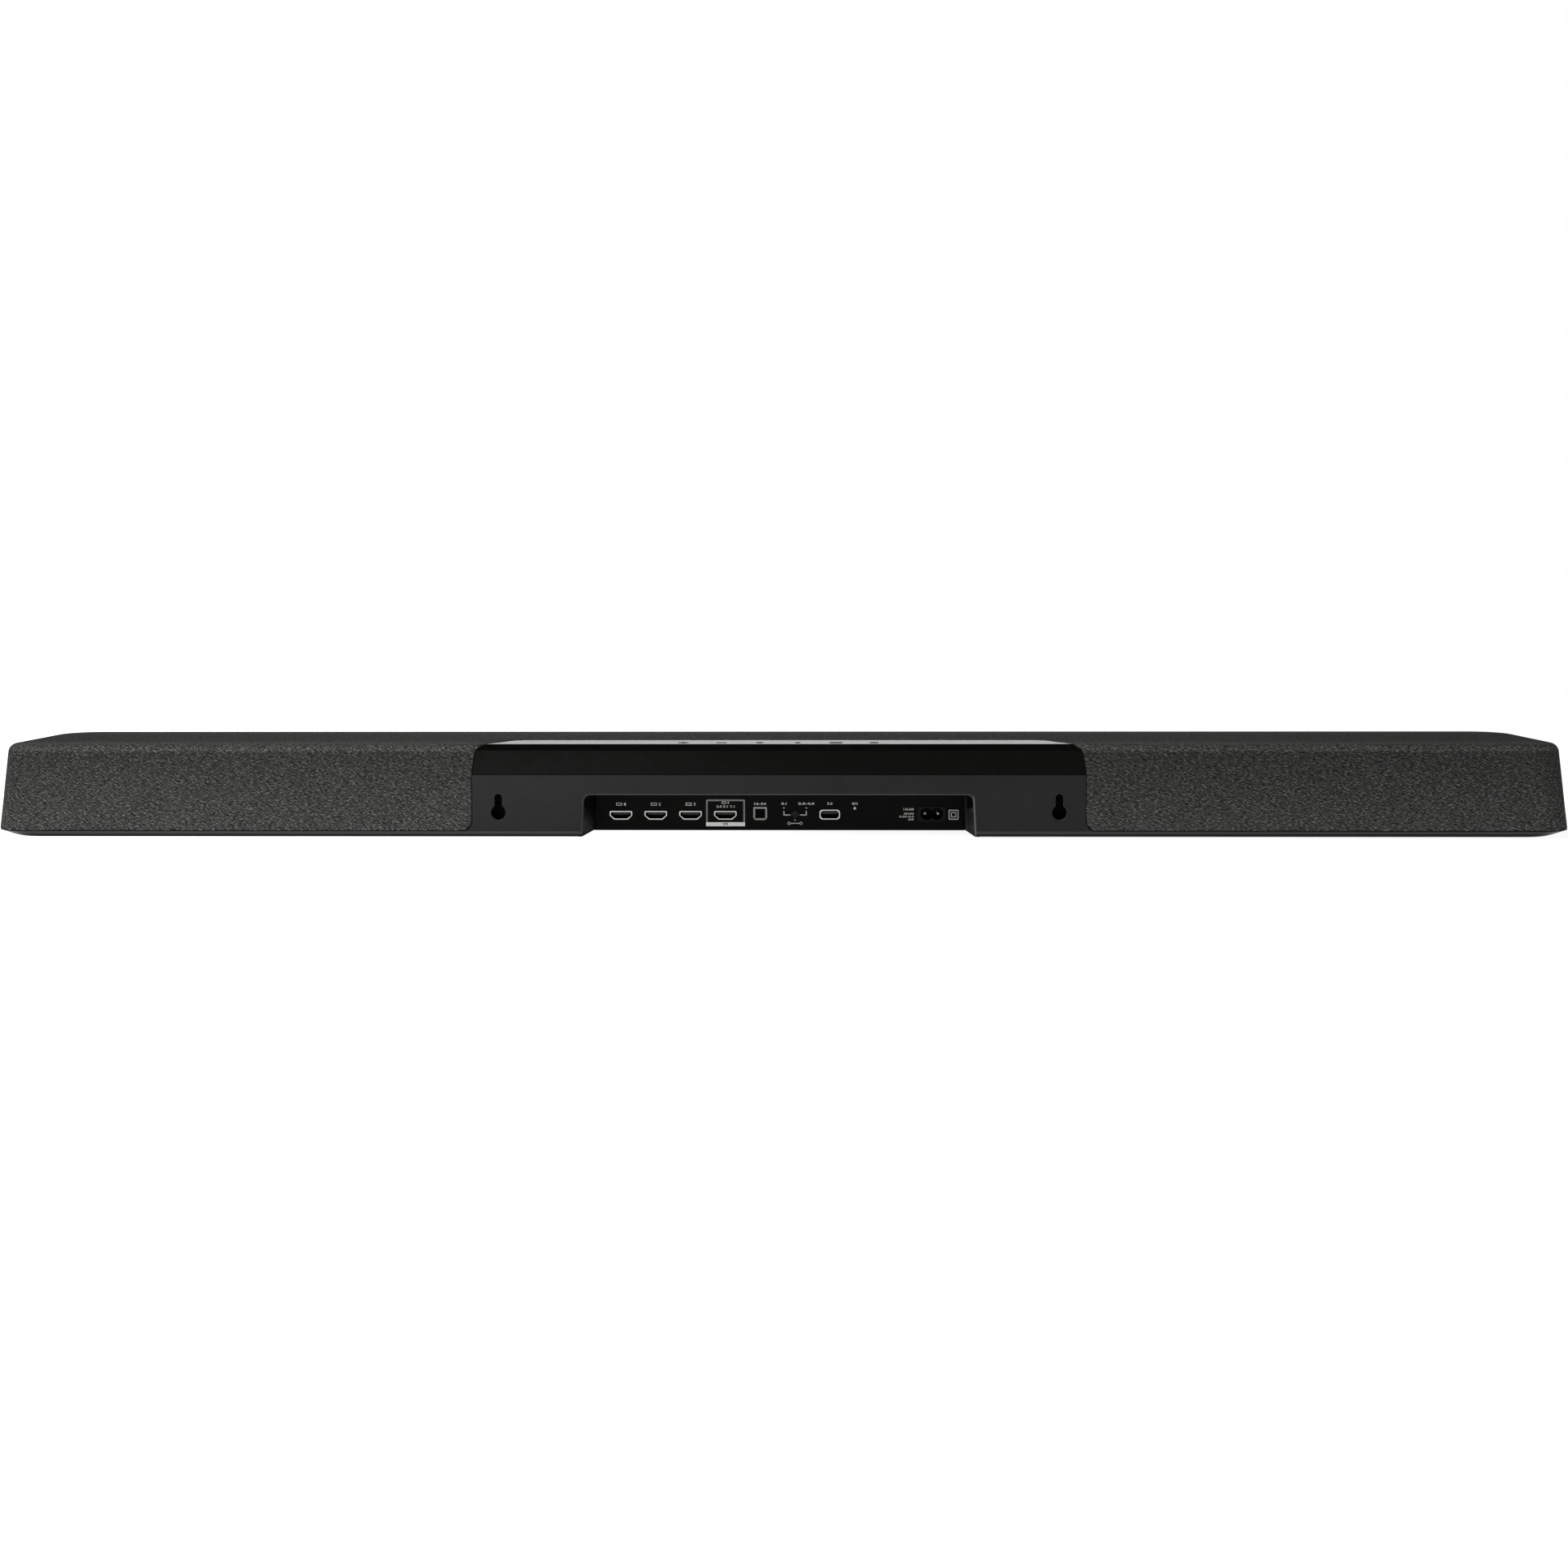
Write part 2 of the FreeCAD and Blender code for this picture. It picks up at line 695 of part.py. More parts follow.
def screw_clearance_holes():
    """Counterbored holes in the floor, one under each boss."""
    cutters = []
    head_top = foot_height + screw_sink + screw_head_height
    for x, y in screw_places():
        head_well = rod(x, y, 0, screw_head_radius + fit_gap, head_top, upward)
        shank = rod(x, y, 0, screw_shank_radius + fit_gap, floor_top + 1.0, upward)
        cutters += [head_well, shank]
    return cutters


def board_posts():
    """Short posts that carry the main board and the power board off the floor."""
    posts = []
    inset, start = 2 * board_post_radius, foot_height + rim_edge_chamfer
    for (low, high), top in ((main_board_span, board_top), (power_board_span, power_board_top)):
        for x in (low + inset, high - inset):
            for y in (board_back - inset, board_front + inset):
                posts.append(rod(x, y, start, board_post_radius, top - board_thickness - start, upward))
    return posts


def make_lower_cabinet():
    """Floor, rim, box walls, rear panel, recess and keyhole pockets in one moulding."""
    keyholes = (-keyhole_spacing / 2, keyhole_spacing / 2)
    parts = [cabinet_base()] + speaker_box_walls() + rear_panel_walls()
    parts += [keyhole_pocket_walls(x) for x in keyholes] + board_posts()
    body = parts[0].multiFuse(parts[1:])
    room_for_recess = recess_void(recess_seat - recess_lip_thickness, rear_y + 1.0, 0.0, 0.0)
    body = body.cut(room_for_recess).fuse(recess_walls())
    mouth = loft(
        [
            recess_outline(rear_y - recess_bevel, 0.0, foot_height - 1.0),
            recess_outline(rear_y + recess_bevel, 2 * recess_bevel, foot_height - 1.0),
        ]
    )
    body = body.cut([keyhole_outline_cut(x) for x in keyholes] + [mouth] + screw_clearance_holes())
    return body.removeSplitter()


def upfiring_placement(side):
    """Pose of an upward-firing driver: its own +Z tilted towards the listening side."""
    base = vector(side * upfiring_place, upfiring_depth, deck_top - upfiring_drop)
    return FreeCAD.Placement(base, FreeCAD.Rotation(vector(1, 0, 0), upfiring_tilt))


def posed(shape, placement):
    """A copy of a shape moved to a pose."""
    moved = shape.copy()
    moved.Placement = placement.multiply(moved.Placement)
    return moved


def make_upper_cabinet():
    """Front baffle and top deck in one moulding, with driver openings and screw bosses."""
    half = box_half_length
    deck = block(-half, half, baffle_front, box_rear, deck_bottom, deck_top)
    baffle = block(-half, half, baffle_front, baffle_back, floor_top + fit_gap, deck_top)
    bosses = [
        rod(x, y, floor_top + fit_gap, boss_radius, deck_bottom - floor_top, upward)
        for x, y in screw_places()
    ]
    key_posts = [
        rod(side * (2.5 * key_pitch + key_board_margin - 2 * key_post_radius), key_row + end, deck_top,
            key_post_radius, key_board_top - key_board_thickness - deck_top, upward)
        for side in (-1, 1)
        for end in (-key_board_depth / 4, key_board_depth / 4)
    ]
    well_radius = upfiring_radius + fit_gap
    collar = rod(0, 0, -2 * deck_thickness, well_radius + wall_thickness, 2 * deck_thickness, upward)
    rim = rod(0, 0, 0, well_radius + wall_thickness, overall_height, upward)
    over_deck = block(-half, half, baffle_front, box_rear, deck_top, 3 * overall_height)
    collars = []
    for side in (-1, 1):
        collars.append(posed(collar, upfiring_placement(side)))
        collars.append(posed(rim, upfiring_placement(side)).cut(over_deck))
    body = deck.multiFuse([baffle] + bosses + key_posts + collars)
    start, through = baffle_front - 1.0, baffle_thickness + 2.0
    openings = [Part.Face(woofer_ring(x, woofer_rim, start)) for x in woofer_places]
    cutters = [opening.extrude(toward_rear * through) for opening in openings]
    tweeter_hole = tweeter_body_radius + fit_gap
    cutters += [rod(x, start, driver_height, tweeter_hole, through, toward_rear) for x in tweeter_places]
    below = vector(0, 0, -1)
    hole = rod(0, 0, 0, upfiring_radius - woofer_rim / 2 + fit_gap, overall_height, below)
    above = rod(0, 0, 0, well_radius, overall_height, upward)
    for side in (-1, 1):
        cutters += [posed(hole, upfiring_placement(side)), posed(above, upfiring_placement(side))]
    pilot = screw_length + screw_sink
    cutters += [rod(x, y, floor_top, screw_shank_radius, pilot, upward) for x, y in screw_places()]
    return body.cut(cutters).removeSplitter()


def make_cabinet_gasket():
    """Foam strip between the box walls and the deck."""
    half, inset = box_half_length, (wall_thickness - gasket_width) / 2
    front = baffle_back + fit_gap
    outer = block(-half + inset, half - inset, front, box_rear - inset, wall_top, deck_bottom)
    inner_inset = inset + gasket_width
    room = block(
        -half + inner_inset, half - inner_inset, front_y, box_rear - inner_inset, wall_top, deck_bottom
    )
    return outer.cut(room)


# ---- Control panel and keys ----
def control_block(grow, top, bottom, rear, bevel_depth):
    """Solid inside the control panel's outline, bevelled at one slope along its rear top edge."""
    solid = loft([control_outline(bottom, grow, rear), control_outline(top, grow, rear)])
    reach, bevel_height = 2 * panel_half_width, bevel_depth * control_bevel_height / control_bevel_depth
    high = top + bevel_height / 2
    corners = [vector(-reach, rear - 1.5 * bevel_depth, high), vector(-reach, rear + bevel_depth / 2, high)]
    corners.append(vector(-reach, rear + bevel_depth / 2, top - 1.5 * bevel_height))
    wedge = Part.Face(Part.makePolygon(corners + [corners[0]]))
    return solid.cut(wedge.extrude(vector(2 * reach, 0, 0)))


def key_shapes():
    """Name, corner list and corner radii of each key, drawn about its own centre, from left to right."""
    bar, arm = 1.1, 3.3
    plus = [(-bar, -arm), (bar, -arm), (bar, -bar), (arm, -bar), (arm, bar), (bar, bar)]
    plus += [(-u, -v) for u, v in plus]
    return [
        ("power", rectangle(0, 0, 5.8, 5.8), [2.88] * 4),
        ("source", rectangle(0, 0, 8.0, 5.6), [1.2] * 4),
        ("pair", [(-1.9, 0), (0, -3.2), (1.9, 0), (0, 3.2)], [0.4] * 4),
        ("mode", [(-2.9, -2.4), (2.9, -2.4), (0, 3.2)], [0.7] * 3),
        ("volume_down", rectangle(0, 0, 6.4, 2.2), [0.6] * 4),
        ("volume_up", plus, [0] * 12),
    ]


def key_column(index, grow, bottom, top):
    """Prism in the form of one key's face, grown for the hole that it moves in."""
    _, points, radii = key_shapes()[index]
    x = (index - 2.5) * key_pitch
    wire = rounded_wire([(x + u, key_row + v) for u, v in points], radii, flat(bottom))
    if grow:
        wire = wire.makeOffset2D(grow, 2)
    return Part.Face(wire).extrude(upward * (top - bottom))


def make_control_panel():
    """Glossy panel that wraps from the top over a bevel down the rear, with a hole for each key."""
    bottom = panel_seam_height + seam_gap
    outer = control_block(0.0, control_top, bottom, rear_y, control_bevel_depth)
    slope = math.atan2(control_bevel_height, control_bevel_depth)
    inner_bevel = control_bevel_depth - control_wall * (1 - math.tan(slope / 2))
    inner = control_block(-control_wall, control_under, bottom - 1.0, rear_y - control_wall, inner_bevel)
    skirt_front = rear_y - control_skirt_depth
    low = control_under - control_side_skirt
    trim = block(-half_length, half_length, front_y, skirt_front, bottom - 1.0, low)
    shell = outer.cut([inner, trim])
    far_row = rear_y - control_depth + control_post_far_gap
    near_row = skirt_front - control_post_skirt_gap
    outer_post, inner_post = control_far_half - control_post_inset, control_far_half / 2
    places = mirrored([(outer_post, far_row), (outer_post, near_row), (inner_post, near_row)])
    post_height = control_under - deck_top + control_wall / 2
    posts = [rod(x, y, deck_top, control_post_radius, post_height, upward) for x, y in places]
    low, high = control_under - 1.0, control_top + 1.0
    holes = [key_column(i, key_clearance, low, high) for i in range(len(key_shapes()))]
    return shell.multiFuse(posts).cut(holes).removeSplitter()


def make_key(index):
    """One key: the symbol-shaped head that stands proud of the panel, on a round flange."""
    head = key_column(index, 0.0, key_flange_top - 0.5, key_top)
    x = (index - 2.5) * key_pitch
    flange = rod(x, key_row, key_flange_bottom, key_flange_radius, key_flange_thickness, upward)
    return head.fuse(flange).removeSplitter()


def make_key_board():
    """Strip board under the keys."""
    half = 2.5 * key_pitch + key_board_margin
    low, high = key_row - key_board_depth / 2, key_row + key_board_depth / 2
    bottom = key_board_top - key_board_thickness
    return block(-half, half, low, high, bottom, key_board_top)


def make_key_switches():
    """Low switches on the strip board, one under each key."""
    half = key_switch_size / 2
    switches = []
    for i in range(len(key_shapes())):
        x = (i - 2.5) * key_pitch
        body = block(x - half, x + half, key_row - half, key_row + half, key_board_top,
                     key_board_top + key_switch_height / 2)
        dome = rod(x, key_row, key_board_top, 0.7 * half, key_switch_height, upward)
        switches.append(body.fuse(dome).removeSplitter())
    return Part.makeCompound(switches)


# ---- Connector panel ----
def video_profile(grow):
    """Socket outline: wide at the top, with its lower corners cut in."""
    wide, tall = video_width / 2 + grow, video_tall / 2 + grow
    narrow, shoulder = 0.62 * wide, -0.05 * tall
    left = [(-wide, tall), (-wide, shoulder), (-narrow, -tall)]
    return left + [(-u, v) for u, v in reversed(left)]


def data_profile(grow):
    """Socket outline: a rectangle with its four corners cut off."""
    wide, tall, cut = data_width / 2 + grow, data_tall / 2 + grow, 1.3
    corner = [(wide - cut, tall), (wide, tall - cut)]
    right = corner + [(u, -v) for u, v in reversed(corner)]
    return right + [(-u, v) for u, v in reversed(right)]


def optical_profile(grow):
    """Socket outline: a square with small lower corners cut off."""
    wide, tall, cut = optical_width / 2 + grow, optical_tall / 2 + grow, 1.4
    left = [(-wide, tall), (-wide, cut - tall), (cut - wide, -tall)]
    return left + [(-u, v) for u, v in reversed(left)]


def profile_prism(profile, x, z, near, far):
    """Solid of a drawn profile, centred on a point of the panel, between two depths."""
    points = [(x + u, z + v) for u, v in profile]
    return prism(points, [socket_corner_radius] * len(points), upright(near), vector(0, far - near, 0))


def make_socket_shell(profile, x, z, depth):
    """Folded metal shell of a socket, with a slightly flared mouth."""
    back, mouth = recess_end - depth, recess_end + socket_lip
    tube = profile_prism(profile(-socket_wall), x, z, back, mouth)
    flare = profile_prism(profile(0.0), x, z, recess_end, mouth)
    room = profile_prism(profile(-2 * socket_wall), x, z, back + socket_wall, mouth + 1.0)
    return tube.fuse(flare).cut(room).removeSplitter()


def make_socket_tongue(x, z, depth, width, tall, drop):
    """Plastic block at the back of a socket with the contact tongue that stands out of it."""
    back = recess_end - depth + socket_wall
    room_wide, room_tall = width - 4 * socket_wall, tall - 4 * socket_wall
    base_half, blade_half = 0.3 * room_wide, 0.42 * room_wide
    base = block(x - base_half, x + base_half, back, back + 2.5, z - 0.28 * room_tall, z + room_tall / 2)
    blade = block(x - blade_half, x + blade_half, back, recess_end - 1.5, z + drop, z + drop + 1.2)
    return base.fuse(blade).removeSplitter()


def make_video_tongues():
    """The four contact tongues, one in each of the wide sockets."""
    size = (video_depth, video_width, video_tall)
    return Part.makeCompound([make_socket_tongue(x, video_height, *size, 0.3) for x in video_places])


def optical_cavity():
    """Square cavity that the optical plug enters."""
    half_wide = optical_width / 2 - optical_wall
    half_tall = optical_tall / 2 - optical_wall
    return block(
        optical_place - half_wide,
        optical_place + half_wide,
        recess_end - optical_depth + optical_wall,
        recess_end + 5.0,
        optical_height - half_tall,
        optical_height + half_tall,
    )


def make_optical_socket():
    """Body of the optical socket behind its frame."""
    x, z, mouth = optical_place, optical_height, recess_end + socket_lip
    outer = profile_prism(optical_profile(0.0), x, z, recess_end, mouth)
    body = profile_prism(optical_profile(-socket_wall), x, z, recess_end - optical_depth, recess_end)
    notch = make_board(main_board_span, board_top)
    return outer.fuse(body).cut([optical_cavity(), notch]).removeSplitter()


def shutter_pivot():
    """Depth and height of the shutter's hinge line, just inside the mouth under the cavity's roof."""
    half_tall = optical_tall / 2 - optical_wall
    reach = shutter_thickness / 2 + shutter_clearance
    return recess_end + socket_lip - reach - 0.3, optical_height + half_tall - reach


def make_optical_shutter():
    """Sprung flap that closes the optical socket and swings in when a plug goes in."""
    y, z = shutter_pivot()
    half_wide = optical_width / 2 - optical_wall - shutter_clearance
    low = optical_height - optical_tall / 2 + optical_wall + shutter_clearance
    half = shutter_thickness / 2
    plate = block(optical_place - half_wide, optical_place + half_wide, y - half, y + half, low, z)
    barrel = rod(optical_place - half_wide, y, z, half, 2 * half_wide, vector(1, 0, 0))
    return plate.fuse(barrel).removeSplitter()


def inlet_outline(grow):
    """Rounded outline of the mains inlet."""
    return rectangle(inlet_place, inlet_height, inlet_width + 2 * grow, inlet_tall + 2 * grow)


def make_mains_inlet():
    """Mains inlet with a figure-of-eight cavity for a two-pin plug."""
    lip = prism(inlet_outline(0.0), [1.5] * 4, upright(recess_end), toward_rear * inlet_lip)
    back = upright(recess_end - inlet_depth)
    body = prism(inlet_outline(-socket_wall), [1.2] * 4, back, toward_rear * inlet_depth)
    floor = recess_end + inlet_lip - inlet_cavity_depth
    reach = inlet_cavity_depth + 1.0
    left, right = inlet_place - inlet_lobe_spacing / 2, inlet_place + inlet_lobe_spacing / 2
    low, high = inlet_height - inlet_waist / 2, inlet_height + inlet_waist / 2
    wells = [rod(x, floor, inlet_height, inlet_cavity_radius, reach, toward_rear) for x in (left, right)]
    join = block(left, right, floor, floor + reach, low, high)
    return lip.fuse(body).cut(wells + [join]).removeSplitter()


def make_mains_pins():
    """The two round-nosed contact pins of the mains inlet."""
    floor = recess_end + inlet_lip - inlet_cavity_depth
    straight = inlet_pin_length - inlet_pin_radius
    pins = []
    for side in (-1, 1):
        x = inlet_place + side * inlet_pin_spacing / 2
        shank = rod(x, floor, inlet_height, inlet_pin_radius, straight, toward_rear)
        nose = Part.makeSphere(inlet_pin_radius, vector(x, floor + straight, inlet_height))
        pins.append(shank.fuse(nose).removeSplitter())
    return Part.makeCompound(pins)


def make_connect_button():
    """Round push button between the printed brackets, with a retaining flange behind the panel."""
    flange = connect_radius + connect_collar
    flange_back = recess_seat - fit_gap - 1.0
    cap = rod(connect_place, flange_back, connect_height, connect_radius,
              recess_end + connect_rise - flange_back, toward_rear)
    collar = rod(connect_place, flange_back, connect_height, flange, 1.0, toward_rear)
    return cap.fuse(collar).removeSplitter()


def make_status_light():
    """Light pipe that shows through the connector panel as a dot."""
    tip = recess_end + fit_gap
    return rod(light_place, tip - light_length, light_height, light_radius, light_length, toward_rear)


def make_io_panel():
    """Connector panel, closely cut out round every socket."""
    outline = recess_outline(recess_seat, -io_panel_clearance, foot_height)
    plate = Part.Face(outline).extrude(toward_rear * io_panel_thickness)
    near, far = recess_seat - 1.0, recess_end + 1.0
    tight = socket_fit - socket_wall
    cutters = [profile_prism(video_profile(tight), x, video_height, near, far) for x in video_places]
    cutters.append(profile_prism(data_profile(tight), data_place, data_height, near, far))
    cutters.append(profile_prism(optical_profile(tight), optical_place, optical_height, near, far))
    cutters.append(prism(inlet_outline(tight), [1.3] * 4, upright(near), toward_rear * (far - near)))
    button_hole = connect_radius + connect_clearance
    cutters.append(rod(connect_place, near, connect_height, button_hole, far - near, toward_rear))
    cutters.append(rod(light_place, near, light_height, light_radius, far - near, toward_rear))
    return plate.cut(cutters)


# ---- Circuit boards ----
def make_board(span, top):
    """Plain circuit board on its posts."""
    return block(span[0], span[1], board_front, board_back, top - board_thickness, top)


def make_main_board():
    """Main board with its row of surface parts and the switch behind the connect button."""
    board = make_board(main_board_span, board_top)
    button_back = recess_seat - fit_gap - 1.0 - connect_travel - key_switch_gap
    half = key_switch_size / 2
    switch = block(
        connect_place - half, connect_place + half, button_back - key_switch_size, button_back,
        board_top, connect_height + half,
    )
    start = board_front + part_margin
    places = [chip_first_place + i * chip_pitch for i in range(chip_count)]
    chips = [
        block(x, x + chip_width, start, start + chip_depth, board_top, board_top + chip_height)
        for x in places
    ]
    return board.multiFuse([switch] + chips).removeSplitter()


def make_power_components():
    """Transformer and capacitor that stand on the power board, beside the mains inlet."""
    wide, deep, tall = transformer_width, transformer_depth, transformer_height
    base, start = power_board_top, board_back - part_margin - transformer_depth
    left = transformer_left
    core = block(left, left + wide, start, start + deep, base, base + tall)
    x, y = left + wide / 2, start + deep / 2
    coil = rod(x, y, base + 0.15 * tall, max(wide, deep) / 2 + coil_overhang, 0.7 * tall, upward)
    coil = coil.common(block(left, left + wide, board_front, board_back, base, base + tall))
    can = rod(capacitor_place, start + capacitor_radius, base, capacitor_radius, capacitor_length, upward)
    return Part.makeCompound([core.fuse(coil).removeSplitter(), can])


def make_heat_sink():
    """Extruded heat sink with upright fins over the amplifier, in front of the sockets."""
    left, right = heat_sink_place - heat_sink_width / 2, heat_sink_place + heat_sink_width / 2
    near, far = board_front + 2 * part_margin, recess_end - data_depth - heat_sink_gap
    base = block(left, right, near, far, board_top, board_top + heat_sink_base)
    step = (heat_sink_width - fin_thickness) / (heat_sink_fins - 1)
    edges = [left + i * step for i in range(heat_sink_fins)]
    fins = [block(x, x + fin_thickness, near, far, board_top, board_top + heat_sink_height) for x in edges]
    return base.multiFuse(fins).removeSplitter()


def make_wireless_module():
    """Shielded wireless module on the main board."""
    start, half = board_front + part_margin, module_width / 2
    return block(
        module_place - half, module_place + half, start, start + module_depth,
        board_top, board_top + module_height,
    )


def make_display_board():
    """Board with the lit digits behind the front cloth."""
    half_wide, half_tall = display_width / 2, display_height / 2
    left, right = display_place - half_wide, display_place + half_wide
    front = baffle_front - display_board_thickness
    board = block(left, right, front, baffle_front, driver_height - half_tall, driver_height + half_tall)
    left, right = display_place - 0.8 * half_wide, display_place + 0.8 * half_wide
    low, high = driver_height - 0.6 * half_tall, driver_height + 0.6 * half_tall
    return board.fuse(block(left, right, front - digit_thickness, front + 0.2, low, high)).removeSplitter()


def make_display_window():
    """Smoked diffuser in front of the lit digits."""
    wide, tall = display_width, display_height
    back = baffle_front - display_board_thickness - digit_thickness
    corners = rectangle(display_place, driver_height, 0.9 * wide, 0.7 * tall)
    return prism(corners, [2.0] * 4, upright(back), toward_front * diffuser_thickness)


# ---- Loudspeakers ----
def woofer_ring(x, inset, y):
    """Racetrack outline of a woofer, drawn in by an inset, at depth y."""
    return racetrack(x, driver_height, woofer_length / 2 - inset, woofer_height / 2 - inset, y)


def woofer_tub(x, wall):
    """Space of a woofer's basket inside a wall: a racetrack whose ends slope in towards the motor."""
    back = baffle_front + woofer_basket_depth - wall
    inset = woofer_rim + fit_gap + wall
    column = Part.Face(woofer_ring(x, inset, baffle_front)).extrude(toward_rear * (back - baffle_front))
    front_half, back_half = woofer_length / 2 - inset, motor_radius + woofer_seat_margin - wall
    corners = [(x - front_half, baffle_front), (x + front_half, baffle_front), (x + back_half, back)]
    corners.append((x - back_half, back))
    low = driver_height - woofer_height / 2
    slopes = prism(corners, [0] * 4, flat(low), upward * woofer_height)
    return column.common(slopes)


def make_woofer_basket(x):
    """Frame of a long woofer: flange, sloping basket with side windows and a seat for the motor."""
    wall, back = woofer_basket_wall, motor_back - motor_depth
    flange = Part.Face(woofer_ring(x, 0.0, flange_front)).extrude(toward_rear * woofer_flange)
    mouth_ring = woofer_ring(x, woofer_rim + fit_gap + wall, flange_front)
    mouth = Part.Face(mouth_ring).extrude(toward_rear * woofer_flange)
    rebate = Part.Face(woofer_ring(x, woofer_rim, flange_front)).extrude(toward_rear * surround_seat)
    seat_radius = coil_radius + coil_wall + motor_gap
    seat = rod(x, back - 2 * wall, driver_height, seat_radius, 3 * wall, toward_rear)
    pitch, width = woofer_length / 5, woofer_length / 9
    windows = [
        block(
            x + side * pitch - width / 2, x + side * pitch + width / 2, baffle_back + wall, back - 2 * wall,
            driver_height - woofer_height, driver_height + woofer_height,
        )
        for side in (-1, 1)
    ]
    basket = woofer_tub(x, 0.0).cut([woofer_tub(x, wall)] + windows)
    return flange.cut([mouth, rebate]).fuse(basket).cut(seat).removeSplitter()


def make_woofer_motor(x):
    """Steel cup and centre pole with the ring-shaped gap that the voice coil moves in."""
    front = motor_back - motor_depth
    cup = rod(x, front, driver_height, motor_radius, motor_depth, toward_rear)
    gap_outer = coil_radius + coil_wall + motor_gap
    gap_inner = coil_radius - motor_gap
    depth = motor_depth - motor_plate
    ring = rod(x, front - 1.0, driver_height, gap_outer, depth + 1.0, toward_rear)
    pole = rod(x, front - 1.5, driver_height, gap_inner, depth + 2.0, toward_rear)
    return cup.cut(ring).fuse(pole).removeSplitter()


def make_woofer_cone(x):
    """Moving cone with its flat dust cap and the voice coil tube behind it."""
    inset = cone_inset
    neck, back, flat_run = coil_radius + coil_wall, flange_front + cone_depth, woofer_rim / 2
    throat_ring = racetrack(x, driver_height, neck + flat_run, neck, back)
    outer = loft([woofer_ring(x, inset, flange_front), throat_ring])
    throat, floor = neck - cone_thickness, back - cone_thickness
    hollow = loft(
        [
            woofer_ring(x, inset + cone_thickness, flange_front),
            racetrack(x, driver_height, throat + flat_run, throat, floor),
        ]
    )
    tube = rod(x, floor, driver_height, neck, coil_length, toward_rear)
    bore = rod(x, back, driver_height, coil_radius, coil_length, toward_rear)
    return outer.cut(hollow).fuse(tube.cut(bore)).removeSplitter()


def make_woofer_surround(x):
    """Raised rubber roll between the flange and the edge of the cone."""
    inset, crest = woofer_rim, woofer_surround / 2
    seat, waist = flange_front + surround_seat, flange_front - 0.4 * woofer_surround_rise
    top = flange_front - woofer_surround_rise
    outer = loft([woofer_ring(x, inset, seat), woofer_ring(x, inset + 0.3 * crest, waist)])
    roof = loft([woofer_ring(x, inset + 0.3 * crest, waist), woofer_ring(x, inset + crest, top)])
    inner_edge = Part.Face(woofer_ring(x, inset + woofer_surround, top - 1.0))
    hole = inner_edge.extrude(toward_rear * woofer_height)
    return outer.fuse(roof).cut(hole).removeSplitter()


def make_tweeter_body(x):
    """Face ring and magnet pot of a dome tweeter."""
    front = baffle_front - tweeter_flange
    ring = rod(x, front, driver_height, tweeter_radius, tweeter_flange, toward_rear)
    pot = rod(x, baffle_front, driver_height, tweeter_body_radius, tweeter_body_depth, toward_rear)
    flare = Part.makeCone(
        tweeter_radius - 1.5, tweeter_dome_radius + driver_gap, tweeter_flange,
        vector(x, front, driver_height), toward_rear,
    )
    well = rod(x, front, driver_height, tweeter_dome_radius + driver_gap, tweeter_flange + 2.0, toward_rear)
    return ring.fuse(pot).cut([flare, well]).removeSplitter()


def make_tweeter_dome(x):
    """Moving dome of a tweeter: a shallow cap on a short skirt."""
    base = baffle_front + 1.0
    sphere_radius = (tweeter_dome_radius**2 + dome_rise**2) / (2 * dome_rise)
    centre = vector(x, base - dome_rise + sphere_radius, driver_height)
    space = rod(x, base - dome_rise - 1.0, driver_height, tweeter_dome_radius, dome_rise + 1.0, toward_rear)
    inner = Part.makeSphere(sphere_radius - dome_thickness, centre)
    return Part.makeSphere(sphere_radius, centre).cut(inner).common(space)


def make_upfiring_basket(side):
    """Frame and motor of an upward-firing driver, tilted towards the listening side."""
    ring = rod(0, 0, 0, upfiring_radius, woofer_flange, upward)
    opening = upfiring_radius - woofer_rim / 2
    origin, down = vector(0, 0, 0), vector(0, 0, -1)
    wall, pot_radius, start = woofer_basket_wall, upfiring_motor_radius, -woofer_basket_depth
    body = Part.makeCone(opening, pot_radius, woofer_basket_depth, origin, down)
    room = Part.makeCone(opening - wall, pot_radius - wall, woofer_basket_depth - wall, origin, down)
    mouth = rod(0, 0, -0.01, opening - wall, woofer_flange + 1.0, upward)
    pot = rod(0, 0, start, pot_radius, upfiring_motor_depth, down)
    gap_radius = coil_radius + coil_wall + motor_gap
    gap = rod(0, 0, start + wall + 1.0, gap_radius, upfiring_motor_depth - motor_plate, down)
    pole = rod(0, 0, start, coil_radius - motor_gap, upfiring_motor_depth, down)
    frame = ring.multiFuse([body, pot]).cut([room, mouth, gap]).fuse(pole).removeSplitter()
    return posed(frame, upfiring_placement(side))


def make_upfiring_surround(side):
    """Rubber roll of an upward-firing driver."""
    outer_radius = upfiring_radius - woofer_rim / 2 - woofer_basket_wall
    inner_radius = outer_radius - woofer_surround
    ring = rod(0, 0, 0, outer_radius, woofer_flange + 0.4, upward)
    hole = rod(0, 0, -1, inner_radius, woofer_flange + 3.0, upward)
    return posed(ring.cut(hole), upfiring_placement(side))


def make_upfiring_cone(side):
    """Moving cone and voice coil of an upward-firing driver."""
    outer_radius = upfiring_radius - woofer_rim / 2 - woofer_basket_wall - woofer_surround - driver_gap
    coil_outer = coil_radius + coil_wall
    down = vector(0, 0, -1)
    outer = Part.makeCone(outer_radius, coil_outer, cone_depth, vector(0, 0, woofer_flange), down)
    hollow = outer.copy()
    hollow.translate(upward * cone_thickness)
    start = woofer_flange - cone_depth + 0.5
    tube = rod(0, 0, start, coil_outer, coil_length - 2.0, down)
    bore = rod(0, 0, start - 0.5, coil_radius, coil_length, down)
    return posed(outer.cut(hollow).fuse(tube.cut(bore)).removeSplitter(), upfiring_placement(side))


